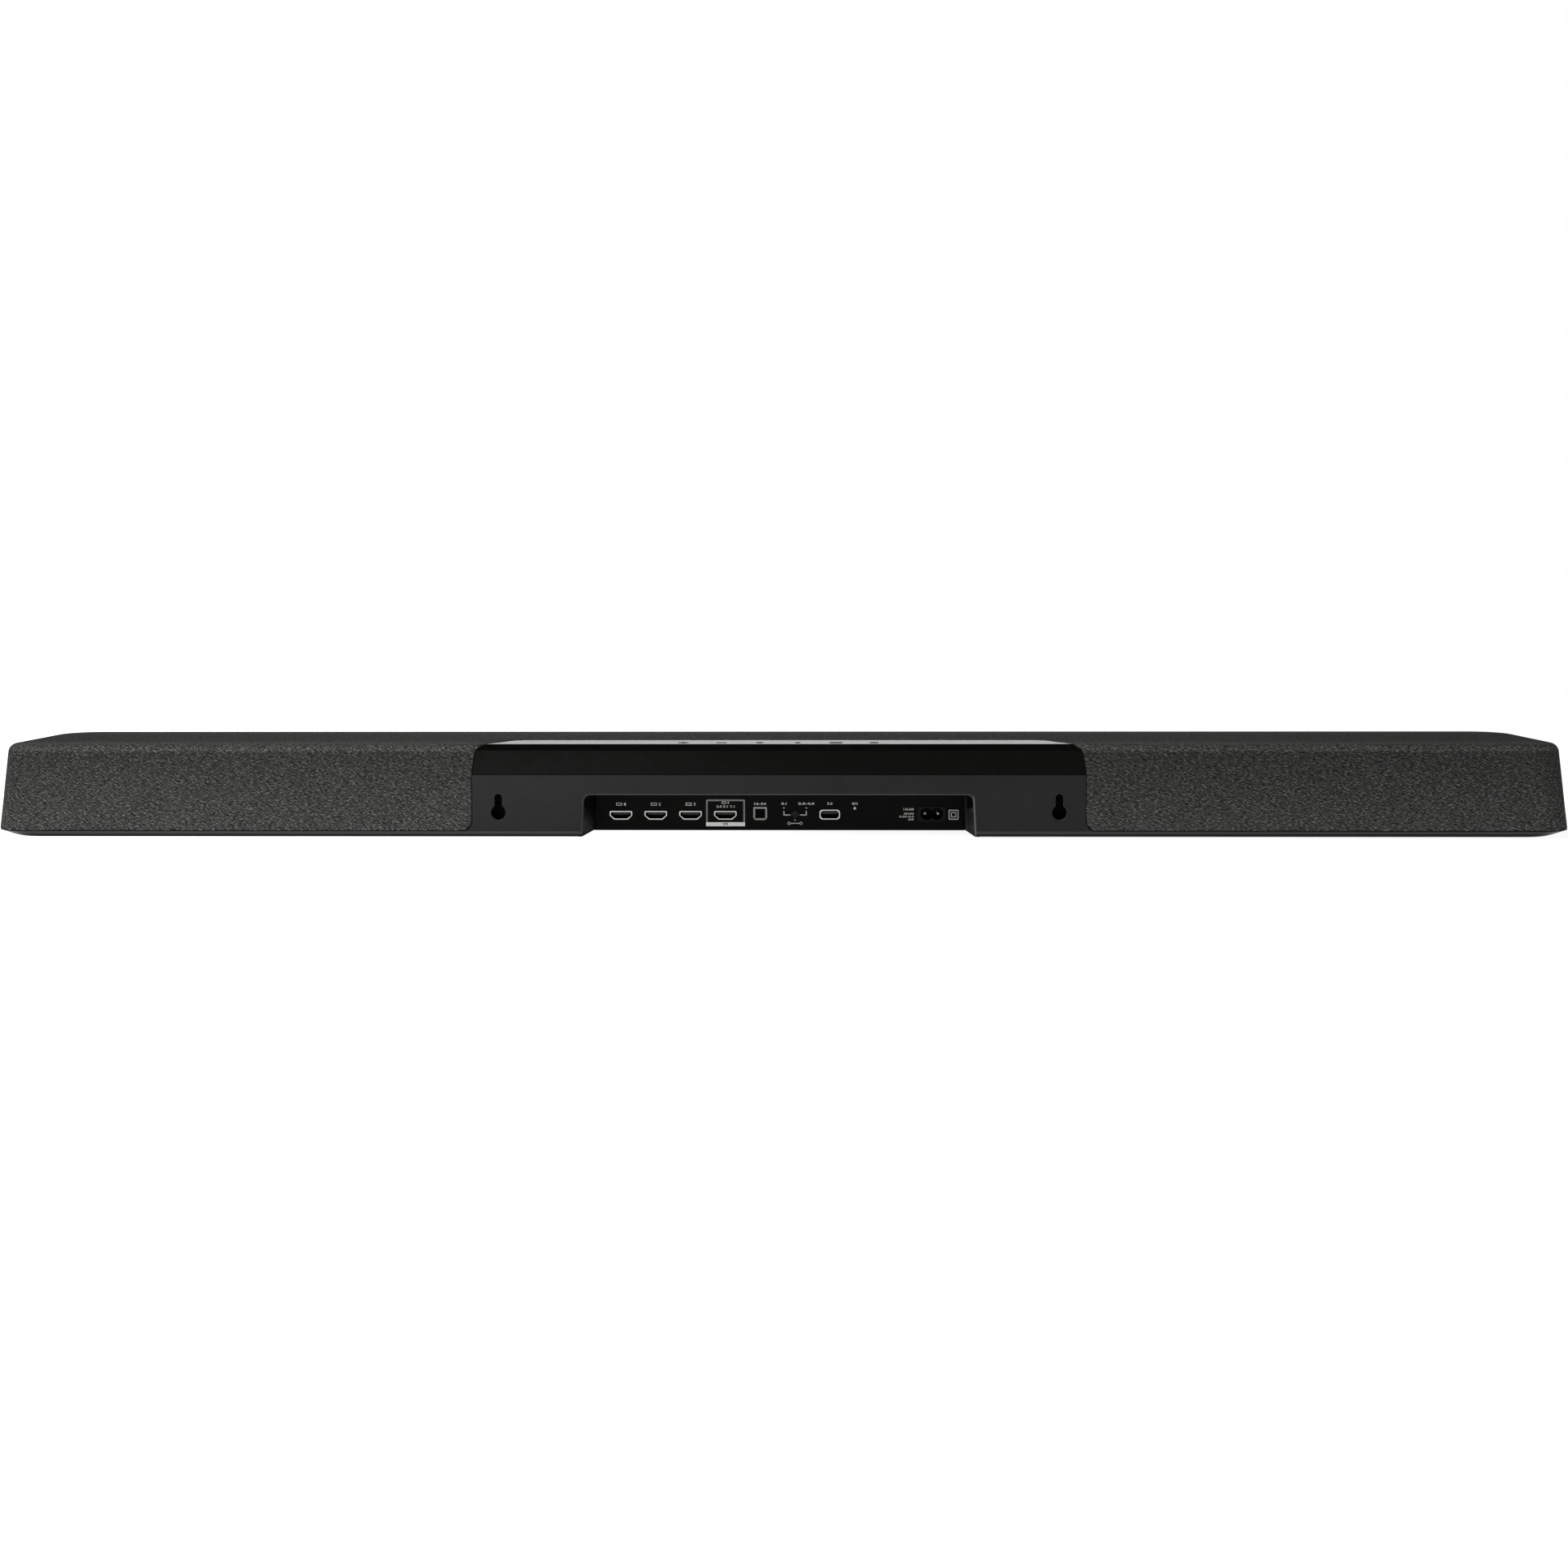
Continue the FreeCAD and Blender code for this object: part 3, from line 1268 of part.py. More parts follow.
# ---- Feet and fasteners ----
def make_feet():
    """Four long rubber feet stuck to the underside."""
    feet = []
    for x_side in (-1, 1):
        for y_side in (-1, 1):
            x = x_side * (half_length - foot_end_inset)
            y = y_side * (overall_depth / 2 - foot_edge_inset)
            corners = rectangle(x, y, foot_length, foot_width)
            feet.append(prism(corners, [0.49 * foot_width] * 4, flat(0.0), upward * foot_height))
    return Part.makeCompound(feet)


def make_cabinet_screws():
    """Screws driven up through the floor into the bosses of the upper cabinet."""
    screws = []
    base, shank_length = foot_height + screw_sink, screw_length - screw_head_height
    long, narrow, top = 0.6 * screw_head_radius, 0.125 * screw_head_radius, base + 0.55 * screw_head_height
    for x, y in screw_places():
        head = rod(x, y, base, screw_head_radius, screw_head_height, upward)
        slots = [
            block(x - long, x + long, y - narrow, y + narrow, base, top),
            block(x - narrow, x + narrow, y - long, y + long, base, top),
        ]
        shank = rod(x, y, base + screw_head_height, screw_shank_radius, shank_length, upward)
        screws.append(head.fuse(shank).cut(slots).removeSplitter())
    return Part.makeCompound(screws)


# ---- Everything, by node name ----
def make_all():
    """Every sub-part by its node name."""
    parts = {
        "fabric_wrap": make_fabric_wrap(),
        "grille_frame": make_grille_frame(),
        "lower_cabinet": make_lower_cabinet(),
        "upper_cabinet": make_upper_cabinet(),
        "cabinet_gasket": make_cabinet_gasket(),
        "control_panel": make_control_panel(),
        "key_board": make_key_board(),
        "key_switches": make_key_switches(),
        "io_panel": make_io_panel(),
        "video_tongues": make_video_tongues(),
        "data_socket": make_socket_shell(data_profile, data_place, data_height, data_depth),
        "data_tongue": make_socket_tongue(data_place, data_height, data_depth, data_width, data_tall, 0.4),
        "optical_socket": make_optical_socket(),
        "optical_shutter": make_optical_shutter(),
        "mains_inlet": make_mains_inlet(),
        "mains_pins": make_mains_pins(),
        "connect_button": make_connect_button(),
        "status_light": make_status_light(),
        "main_board": make_main_board(),
        "power_board": make_board(power_board_span, power_board_top),
        "power_components": make_power_components(),
        "heat_sink": make_heat_sink(),
        "wireless_module": make_wireless_module(),
        "display_board": make_display_board(),
        "display_window": make_display_window(),
        "woofer_motors": Part.makeCompound([make_woofer_motor(x) for x in woofer_places]),
        "woofer_surrounds": Part.makeCompound([make_woofer_surround(x) for x in woofer_places]),
        "tweeter_bodies": Part.makeCompound([make_tweeter_body(x) for x in tweeter_places]),
        "upfiring_surrounds": Part.makeCompound([make_upfiring_surround(side) for side in (-1, 1)]),
        "feet": make_feet(),
        "cabinet_screws": make_cabinet_screws(),
    }
    for i, (name, _, _) in enumerate(key_shapes()):
        parts["key_" + name] = make_key(i)
    for i, x in enumerate(video_places):
        parts[f"video_socket_{i + 1}"] = make_socket_shell(video_profile, x, video_height, video_depth)
    for i, x in enumerate(woofer_places):
        parts[f"woofer_basket_{i + 1}"] = make_woofer_basket(x)
        parts[f"woofer_cone_{i + 1}"] = make_woofer_cone(x)
    for i, x in enumerate(tweeter_places):
        parts[f"tweeter_dome_{i + 1}"] = make_tweeter_dome(x)
    for name, side in (("left", -1), ("right", 1)):
        parts[f"upfiring_basket_{name}"] = make_upfiring_basket(side)
        parts[f"upfiring_cone_{name}"] = make_upfiring_cone(side)
    return parts


def main():
    """Writes one STEP file for each node."""
    os.makedirs("parts", exist_ok=True)
    for name, shape in make_all().items():
        good = shape.isValid() and len(shape.Solids) > 0
        print(f"{name}: {len(shape.Solids)} solids, {shape.Volume:.0f} mm3, ok {good}")
        shape.exportStep(f"parts/{name}.step")


main()
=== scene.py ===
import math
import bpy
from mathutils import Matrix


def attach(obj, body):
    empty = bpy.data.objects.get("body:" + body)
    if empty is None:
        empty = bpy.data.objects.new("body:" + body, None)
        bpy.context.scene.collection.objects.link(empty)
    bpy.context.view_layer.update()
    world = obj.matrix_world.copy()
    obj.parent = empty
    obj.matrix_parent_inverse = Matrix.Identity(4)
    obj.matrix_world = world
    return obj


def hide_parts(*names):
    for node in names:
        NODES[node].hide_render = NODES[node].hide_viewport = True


bl_info = {
    "name": "Long soundbar",
    "version": (1, 0, 0),
    "blender": (4, 5, 0),
    "location": "3D View > Sidebar > Soundbar",
    "description": "Cloth, mouldings, sockets, prints and studio for the long soundbar",
    "category": "Object",
}

import bmesh
import bpy
import numpy as np
from bpy.props import FloatProperty, FloatVectorProperty, PointerProperty
from mathutils import Matrix

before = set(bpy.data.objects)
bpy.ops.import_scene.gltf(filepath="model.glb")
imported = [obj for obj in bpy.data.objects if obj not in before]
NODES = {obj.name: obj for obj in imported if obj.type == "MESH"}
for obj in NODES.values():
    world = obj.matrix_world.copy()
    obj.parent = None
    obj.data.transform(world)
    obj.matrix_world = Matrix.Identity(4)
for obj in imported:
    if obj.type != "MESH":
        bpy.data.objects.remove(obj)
BODY = "soundbar"
MM = 0.001


# ---- Colours and nodes ----
def linear(code):
    """Turns an sRGB hex colour into linear red, green, blue and alpha."""
    c = np.array([int(code[i : i + 2], 16) for i in (1, 3, 5)]) / 255
    c = np.where(c <= 0.04045, c / 12.92, ((c + 0.055) / 1.055) ** 2.4)
    return (*map(float, c), 1.0)


def toned(colour, share):
    """The same colour made lighter or darker by a share, with its alpha set to 1."""
    return (*[min(share * c, 1.0) for c in colour[:3]], 1.0)


def add(tree, kind, inputs=None, **settings):
    """Adds a node, sets its settings, and fills or links its inputs by name or number."""
    made = tree.nodes.new(kind)
    for key, value in settings.items():
        setattr(made, key, value)
    for key, value in (inputs or {}).items():
        if isinstance(value, bpy.types.NodeSocket):
            tree.links.new(value, made.inputs[key])
        else:
            made.inputs[key].default_value = value
    return made


def new_material(name):
    """Empty node material."""
    material = bpy.data.materials.new(name)
    material.use_nodes = True
    material.node_tree.nodes.clear()
    return material, material.node_tree


def close(tree, inputs):
    """Adds the shader and the output at the end of a material's nodes."""
    shader = add(tree, "ShaderNodeBsdfPrincipled", inputs)
    add(tree, "ShaderNodeOutputMaterial", {"Surface": shader.outputs[0]})


def dress(material, *names):
    """Puts a material on moulded parts, by node name."""
    for name in names:
        slots = NODES[name].data.materials
        for i in range(len(slots)):
            slots[i] = material


# ---- Meshes ----
def new_object(name, data):
    """Adds an object with a mesh, a light or a camera to the scene."""
    made = bpy.data.objects.new(name, data)
    bpy.context.scene.collection.objects.link(made)
    return made


def new_piece(name, points, faces, material):
    """Makes a piece from an array of points (m) and a list of faces, and lets it ride on the bar's body."""
    mesh = bpy.data.meshes.new(name)
    mesh.from_pydata(points.tolist(), [], faces)
    mesh.materials.append(material)
    piece = new_object(name, mesh)
    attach(piece, BODY)
    return piece


# ---- Finishes ----
WALE = 1.7  # spacing of the knit's rows of loops, mm: 0.6 in truth, drawn coarser so that they show
WALE_SLANT = 0.95  # radians
STUB_LENGTH, STUB_WIDTH = 2.2, 0.9  # of the short stubs of pale and dark yarn, mm
STUBS = ((1.0, 3.0), (-0.85, 11.0))  # their two slants in radians, each with the seed of its noise
PALE_YARN = {"From Min": 1.1, "From Max": 1.42}  # yarn value where a pale fleck begins, and where it is full
DARK_YARN = {"From Min": 1.04, "From Max": 0.84}
WASH = 22.0  # size of the patches where the knit is stretched more or less, mm
# Brightness of the knit by height (m), painted light: paler at the rim and darker up the side, as painted
# bounce from the floor, ...
PAINTED_LIGHT_UP_THE_SIDE = {"From Min": 0.006, "From Max": 0.052, "To Min": 1.18, "To Max": 0.76}
# ... and a painted highlight over the top edge, along the front and rear (distance from the middle, m) only.
PAINTED_HIGHLIGHT_OVER_THE_EDGE = {"From Min": 0.0550, "From Max": 0.0566, "To Max": 0.7}
HIGHLIGHT_AT_THE_FACES = {"From Min": 0.026, "From Max": 0.054}


def heather_cloth(cloth):
    """Heathered polyester knit: matt, with short slanting squiggles of pale and dark yarn over fine loops."""
    material, tree = new_material("heathered_polyester_knit")
    at = add(tree, "ShaderNodeUVMap", uv_map="cloth").outputs[0]
    # Wavy rows of loops. The wave's bands are pi / 10 apart at scale 1.
    turned = add(tree, "ShaderNodeMapping", {"Vector": at, "Rotation": (0, 0, WALE_SLANT)}).outputs[0]
    wale = add(tree, "ShaderNodeTexWave", {
        "Vector": turned, "Scale": math.pi / (10 * WALE * MM), "Distortion": 9.0, "Detail": 2.0,
        "Detail Scale": 1.6, "Detail Roughness": 0.6}).outputs[1]
    # Stubs of yarn at two slants, from noise drawn out along them.
    flecks = []
    for turn, seed in STUBS:
        slant = add(tree, "ShaderNodeMapping", {
            "Vector": at, "Rotation": (0, 0, turn),
            "Scale": (1 / (STUB_LENGTH * MM), 1 / (STUB_WIDTH * MM), 1)}).outputs[0]
        flecks.append(add(tree, "ShaderNodeTexNoise", {
            "Vector": slant, "W": seed, "Scale": 1.0, "Detail": 2.0, "Roughness": 0.6, "Distortion": 0.5},
            noise_dimensions="4D").outputs[0])
    stubs = add(tree, "ShaderNodeMath", {0: flecks[0], 1: flecks[1]}).outputs[0]
    yarn = add(tree, "ShaderNodeMath", {0: wale, 1: 0.22, 2: stubs}, operation="MULTIPLY_ADD").outputs[0]
    light, dark = (add(tree, "ShaderNodeMapRange", {"Value": yarn, **ramp},
                       interpolation_type="SMOOTHSTEP").outputs[0] for ramp in (PALE_YARN, DARK_YARN))
    # Where the knit is stretched less or more, the ground looks a little paler or darker.
    wash = add(tree, "ShaderNodeTexNoise", {"Vector": at, "Scale": 1 / (WASH * MM), "Detail": 3.0}).outputs[0]
    colour = add(tree, "ShaderNodeMix", {0: wash, 6: toned(cloth.colour, 0.8), 7: toned(cloth.colour, 1.2)},
                 data_type="RGBA").outputs[2]
    for share, fleck in ((light, cloth.fleck), (dark, cloth.shade)):
        colour = add(tree, "ShaderNodeMix", {0: share, 6: colour, 7: (*fleck, 1.0)},
                     data_type="RGBA").outputs[2]
    # Painted light: the colour is scaled paler at the rim, darker up the side, and paler again as a painted
    # highlight over the top edge at front and rear.
    place = add(tree, "ShaderNodeTexCoord").outputs["Object"]
    parts = add(tree, "ShaderNodeSeparateXYZ", {0: place}).outputs
    rise = add(tree, "ShaderNodeMapRange", {"Value": parts[2], **PAINTED_LIGHT_UP_THE_SIDE}).outputs[0]
    away = add(tree, "ShaderNodeMath", {0: parts[1]}, operation="ABSOLUTE").outputs[0]
    faces = add(tree, "ShaderNodeMapRange", {"Value": away, **HIGHLIGHT_AT_THE_FACES}).outputs[0]
    top_edge_highlight = add(tree, "ShaderNodeMapRange", {"Value": parts[2], **PAINTED_HIGHLIGHT_OVER_THE_EDGE}).outputs[0]
    painted_light_share = add(tree, "ShaderNodeMath", {0: top_edge_highlight, 1: faces, 2: rise}, operation="MULTIPLY_ADD").outputs[0]
    colour = add(tree, "ShaderNodeVectorMath", {0: colour, "Scale": painted_light_share}, operation="SCALE").outputs[0]
    bump = add(tree, "ShaderNodeBump", {"Height": yarn, "Strength": 0.7, "Distance": 0.2 * MM}).outputs[0]
    close(tree, {"Base Color": colour, "Normal": bump, "Roughness": 0.98, "Specular IOR Level": 0.1})
    return material


CLOUD = 18.0  # size of the slow mottle of a moulding, mm
MIDDLE_OF_NOISE = {"From Min": 0.3, "From Max": 0.7}  # where a noise's values mostly lie


def moulded(name, code, grain, depth, roughness, specular=0.5, mottle=0.12, edge=0.3, tint=None):
    """Moulded plastic or rubber: an even colour with a slight mottle, fine grain and softened edges.

    grain and depth are the size and depth of the grain in mm; edge is the radius of the edges in mm; tint is
    an optional function that gives parts of the piece another tone."""
    material, tree = new_material(name)
    at = add(tree, "ShaderNodeTexCoord").outputs["Object"]
    spots, cloud = (add(tree, "ShaderNodeTexNoise", {
        "Vector": at, "Scale": 1 / (size * MM), "Detail": detail}).outputs[0]
        for size, detail in ((grain, 2.0), (CLOUD, 3.0)))
    tone = add(tree, "ShaderNodeMath", {0: cloud, 1: spots}).outputs[0]
    share = add(tree, "ShaderNodeMapRange", {"Value": tone, "From Min": 0.7, "From Max": 1.3}).outputs[0]
    base = linear(code)
    colour = add(tree, "ShaderNodeMix", {0: share, 6: toned(base, 1 - mottle), 7: toned(base, 1 + mottle)},
                 data_type="RGBA").outputs[2]
    soft = add(tree, "ShaderNodeBevel", {"Radius": edge * MM}, samples=4).outputs[0]
    bump = add(tree, "ShaderNodeBump", {"Height": spots, "Strength": 1.0, "Distance": depth * MM,
                                        "Normal": soft}).outputs[0]
    rough = add(tree, "ShaderNodeMapRange", {"Value": spots, **MIDDLE_OF_NOISE, "To Min": roughness - 0.05,
                                             "To Max": roughness + 0.05}).outputs[0]
    if tint:
        colour, rough = tint(tree, at, colour, rough)
    close(tree, {"Base Color": colour, "Normal": bump, "Roughness": rough, "Specular IOR Level": specular})
    return material


def metal(name, code, roughness, stretch=(1, 1, 1), grain=0.4, depth=0.004, tint=None):
    """Plated or bare metal: brushed or frosted by a noise that can be drawn out along one axis.

    grain and depth are the size and depth of the marks in mm; tint is as for a moulding."""
    material, tree = new_material(name)
    at = add(tree, "ShaderNodeTexCoord").outputs["Object"]
    drawn = add(tree, "ShaderNodeMapping", {"Vector": at, "Scale": stretch}).outputs[0]
    marks = add(tree, "ShaderNodeTexNoise", {"Vector": drawn, "Scale": 1 / (grain * MM),
                                             "Detail": 3.0}).outputs[0]
    base = linear(code)
    colour = add(tree, "ShaderNodeMix", {0: marks, 6: toned(base, 0.8), 7: toned(base, 1.2)},
                 data_type="RGBA").outputs[2]
    rough = add(tree, "ShaderNodeMapRange", {"Value": marks, **MIDDLE_OF_NOISE, "To Min": roughness - 0.08,
                                             "To Max": roughness + 0.08}).outputs[0]
    if tint:
        colour, rough = tint(tree, at, colour, rough)
    bump = add(tree, "ShaderNodeBump", {"Height": marks, "Strength": 1.0, "Distance": depth * MM}).outputs[0]
    close(tree, {"Base Color": colour, "Normal": bump, "Roughness": rough, "Metallic": 1.0})
    return material


def band(tree, value, zone):
    """Mask that is 1 while a value lies in a zone.

    A zone is its low and high end and the width of the soft borders inside them, in mm."""
    low, high, soft = (limit * MM for limit in zone)
    up, down = (add(tree, "ShaderNodeMapRange", {
        "Value": value, "From Min": start, "From Max": full}).outputs[0]
        for start, full in ((low, low + soft), (high, high - soft)))
    return add(tree, "ShaderNodeMath", {0: up, 1: down}, operation="MULTIPLY").outputs[0]


# Zones of the cabinet's rear and rim, mm.
OPENINGS = (-10.0, 186.0, 1.0)  # distance from the middle that takes in the recess and both keyholes
INSIDE = (20.0, 59.3, 0.3)  # depths inside the recess and the keyholes
BEVEL = (59.2, 59.98, 0.1)  # depths of the bevels between the openings and the rear face, which get a painted highlight
MOUTH_EDGE = (-1.4, 0.3, 0.4)  # distance outside the mouth of the recess
MOUTH_DEPTH = (58.8, 61.0, 0.1)
LEDGE = (24.0, 36.5, 1.0)  # depths where the connector panel meets the walls of the recess
HIGHLIGHT_WALL = (-135.0, -119.0, 1.0)  # the recess's wall on -x, where the highlight is painted
WALL_HEIGHT = (0.0, 28.5, 3.5)
RIM_EDGE = (3.0, 5.2, 0.6)  # heights of the rim's upper edge, which gets a painted highlight
MOUTH_HALF, MOUTH_TOP = 125.4, 28.8  # mouth of the recess at the floor: half its width, and its height, mm
MOUTH_LEAN = 0.057  # how far its sides lean in, per unit of height
# Ramps by place, m.
UNDER_THE_RIM = {"From Min": 0.0033, "From Max": 0.0028}  # height of the painted shade under the rim
TO_THE_KEYHOLES = {"From Min": 0.135, "From Max": 0.145}  # distance from the middle
DOWN_THE_WALL = {"From Min": 0.018, "From Max": 0.001}  # height
INTO_THE_SHELL = {"From Min": 0.02585, "From Max": 0.02545}  # depth


def cabinet_tints(tree, at, colour, rough):
    """Painted shade, nearly black, inside the recess and the keyholes and under the rim; painted highlights
    on the bevels, the rim and the mouth's edge on -x.
    """
    x, y, z = add(tree, "ShaderNodeSeparateXYZ", {0: at}).outputs
    across = add(tree, "ShaderNodeMath", {0: x}, operation="ABSOLUTE").outputs[0]
    near = band(tree, across, OPENINGS)
    # Painted shade: inside the recess and the keyholes the colour goes nearly black.
    deep = add(tree, "ShaderNodeMath", {0: near, 1: band(tree, y, INSIDE)}, operation="MULTIPLY").outputs[0]
    edge = add(tree, "ShaderNodeMath", {0: near, 1: band(tree, y, BEVEL)}, operation="MULTIPLY").outputs[0]
    # Painted highlight round the mouth of the recess. Distance outside the mouth: the larger of how far past
    # its leaning side and its top.
    side = add(tree, "ShaderNodeMath", {0: z, 1: MOUTH_LEAN, 2: across}, operation="MULTIPLY_ADD").outputs[0]
    past = add(tree, "ShaderNodeMath", {0: side, 1: MOUTH_HALF * MM}, operation="SUBTRACT").outputs[0]
    over = add(tree, "ShaderNodeMath", {0: z, 1: MOUTH_TOP * MM}, operation="SUBTRACT").outputs[0]
    far = add(tree, "ShaderNodeMath", {0: past, 1: over}, operation="MAXIMUM").outputs[0]
    painted_edge_highlight = add(tree, "ShaderNodeMath", {0: band(tree, far, MOUTH_EDGE), 1: band(tree, y, MOUTH_DEPTH)},
               operation="MULTIPLY").outputs[0]
    # The painted highlight is kept to the -x wall's edge, and added faintly on a ledge where the connector
    # panel meets it.
    painted_edge_highlight = add(tree, "ShaderNodeMath", {0: band(tree, y, LEDGE), 1: 0.3, 2: painted_edge_highlight},
               operation="MULTIPLY_ADD").outputs[0]
    wall = add(tree, "ShaderNodeMath", {0: band(tree, x, HIGHLIGHT_WALL), 1: band(tree, z, WALL_HEIGHT)},
               operation="MULTIPLY").outputs[0]
    painted_edge_highlight = add(tree, "ShaderNodeMath", {0: painted_edge_highlight, 1: wall}, operation="MULTIPLY").outputs[0]
    # Painted highlight: paler on the bevels of the openings and on the rim's upper edge.
    rim = band(tree, z, RIM_EDGE)
    # Painted shade: a dark line along the bottom, under the rim.
    painted_shade_under_rim = add(tree, "ShaderNodeMapRange", {"Value": z, **UNDER_THE_RIM}).outputs[0]
    pale = add(tree, "ShaderNodeMath", {0: edge, 1: rim}, operation="MAXIMUM").outputs[0]
    # Mixed in turn: painted highlight on bevels and rim, painted shade under the rim, painted shade inside
    # the openings, painted highlight on the -x mouth edge.
    for share, code in ((pale, "#353535"), (painted_shade_under_rim, "#090909"), (deep, "#040404"), (painted_edge_highlight, "#504f4e")):
        colour = add(tree, "ShaderNodeMix", {0: share, 6: colour, 7: linear(code)},
                     data_type="RGBA").outputs[2]
    # The recess is smooth and mirrors its dark panel; the keyholes and the foot of its walls are rough.
    hole = add(tree, "ShaderNodeMapRange", {"Value": across, **TO_THE_KEYHOLES}).outputs[0]
    foot = add(tree, "ShaderNodeMapRange", {"Value": z, **DOWN_THE_WALL}).outputs[0]
    matt = add(tree, "ShaderNodeMath", {0: hole, 1: foot}, operation="MAXIMUM").outputs[0]
    inner = add(tree, "ShaderNodeMapRange", {"Value": matt, "To Min": 0.25, "To Max": 1.0}).outputs[0]
    return colour, add(tree, "ShaderNodeMix", {0: deep, 2: rough, 3: inner}).outputs[0]


def shell_tints(tree, at, colour, rough):
    """Bright on the folded lip of a socket's shell, and dark with painted shadow deeper inside it."""
    depth = add(tree, "ShaderNodeSeparateXYZ", {0: at}).outputs[1]
    inside = add(tree, "ShaderNodeMapRange", {"Value": depth, **INTO_THE_SHELL}).outputs[0]
    # Painted shadow: the shell's colour goes dark deeper inside.
    shaded = add(tree, "ShaderNodeMix", {0: inside, 6: colour, 7: linear("#1c1c1c")},
                 data_type="RGBA").outputs[2]
    return shaded, add(tree, "ShaderNodeMix", {0: inside, 2: rough, 3: 0.7}).outputs[0]


# ---- Settings ----
class ClothSettings(bpy.types.PropertyGroup):
    colour: FloatVectorProperty(name="Yarn", description="Ground colour of the cloth", subtype="COLOR",
                                size=3, default=linear("#313130")[:3])
    fleck: FloatVectorProperty(name="Light fleck", description="Colour of the light heather flecks",
                               subtype="COLOR", size=3, default=linear("#5e5e5c")[:3])
    shade: FloatVectorProperty(name="Dark fleck", description="Colour of the dark heather flecks",
                               subtype="COLOR", size=3, default=linear("#131313")[:3])
    thickness: FloatProperty(name="Thickness", description="Thickness of the cloth", unit="LENGTH",
                             default=0.6 * MM)
    hem_radius: FloatProperty(name="Hem bend", description="Radius of the turned edge", unit="LENGTH",
                              default=0.7 * MM)
    hem_turn: FloatProperty(name="Hem turn-in", description="Width of cloth turned in behind the edge",
                            unit="LENGTH", default=1.5 * MM)
    edge_gap: FloatProperty(name="Edge gap", description="Gap between the cloth and what fills the window",
                            unit="LENGTH", default=0.4 * MM)
    top_radius: FloatProperty(name="Top edge radius", description="Radius of the rounded top edge",
                              unit="LENGTH", default=6 * MM)


class StageSettings(bpy.types.PropertyGroup):
    lens: FloatProperty(name="Lens", description="Focal length on a 36 mm sensor", unit="CAMERA",
                        default=49.21)
    floor: FloatVectorProperty(name="Floor", description="Colour of the pale floor", subtype="COLOR", size=3,
                               default=(0.2, 0.2, 0.2))
    table: FloatProperty(name="Table light", description="Brightness of the light under the floor",
                         default=0.93)
    tubes: FloatProperty(name="Tube light", description="Extra brightness beside the bar, front and rear",
                         default=0.25)
    lamp: FloatProperty(name="Lamp under the table", description="Extra brightness behind the bar, on +x",
                        default=1.5)


# ---- Cloth sleeve ----
# All places below are in mm.
RIM, CROWN = 5.0, 60.0  # heights of the lower edge and of the level top
REAR = 60.0  # depth of the rear face; the front is as far forward at the rim
RIM_HALF, TAPER = 502.85, 7.8  # half length at the rim, and how much less it is at the top
FRONT_STEP, FRONT_LEAN = 5.0, 3.0  # the front's half length is less than the rear's, and its face leans back
SEAM = 200.0  # where the open curve starts and ends on the rear, before it's brought to the window
CORNERS = (20.0, 28.0, 28.0, 20.0)  # plan radii: rear, front, front, rear
STRAIGHT = (34, 16, 130, 16, 34)  # rows along each straight run
TURN = 18  # rows round each corner
SIDE_COLUMNS, FILLET_COLUMNS, TOP_COLUMNS = 14, 9, 12
WINDOW_HALF = 194.0  # half width of the rear window where its sides are upright
FLARE, FLARE_TOP = 8.0, 12.3  # radius of the flare at the window's foot, and the height where it ends
BEND, BEND_RISE, BEND_STEP = 40.7, 19.3, 3.3  # above BEND the sides lean in by BEND_STEP up to the level top
SHOULDER_HALF = 190.7  # half width at the rear edge of the level top
FAR_HALF, FAR_EDGE, FAR_RADIUS = 170.0, 17.0, 12.0  # the window's far edge on the level top, and its corners
WINDOW_DEPTH = 43.0  # from the rear face to the far edge
SIDE_START = 52.5  # depth where the fillet meets the level top beside the window
RIM_TURN = 0.05  # cloth turned in under the rim, much less than round the window
HEM_ANGLES = (30, 60, 90)  # steps of the hem's bend, degrees


def plan_curve(share):
    """Plan of the sleeve at a share of its height, in mm, with outward normals.

    A trapezium with rounded corners, shorter on each side at the top than at the rim, with its front further
    back. The curve goes from the rear on +x round the ends and front to the rear on -x."""
    rear_half = RIM_HALF - TAPER * share
    front_half, front = rear_half - FRONT_STEP, -REAR + FRONT_LEAN * share
    corners = np.array([[rear_half, REAR], [front_half, front], [-front_half, front], [-rear_half, REAR]])
    ways = np.array([[1.0, 0.0], *(corners[1:] - corners[:-1]), [1.0, 0.0]])
    ways = ways / np.hypot(ways[:, 0], ways[:, 1])[:, None]
    points, normals, previous = [], [], np.array([SEAM, REAR])
    for i, radius in enumerate(CORNERS):
        before, after = ways[i], ways[i + 1]
        out = np.array([-before[1], before[0]])
        turn = math.acos(float(np.clip(before @ after, -1, 1)))
        cut = radius * math.tan(turn / 2)
        start = corners[i] - cut * before
        s = np.linspace(0, 1, STRAIGHT[i], endpoint=False)[:, None]
        a = np.linspace(0, turn, TURN, endpoint=False)[:, None]
        bent = np.cos(a) * out + np.sin(a) * before
        points += [previous + s * (start - previous), start - radius * out + radius * bent]
        normals += [np.repeat(out[None], STRAIGHT[i], 0), bent]
        previous = corners[i] + cut * after
    s = np.linspace(0, 1, STRAIGHT[-1])[:, None]
    points.append(previous + s * (np.array([-SEAM, REAR]) - previous))
    normals.append(np.repeat([[0.0, 1.0]], STRAIGHT[-1], 0))
    return np.concatenate(points), np.concatenate(normals)


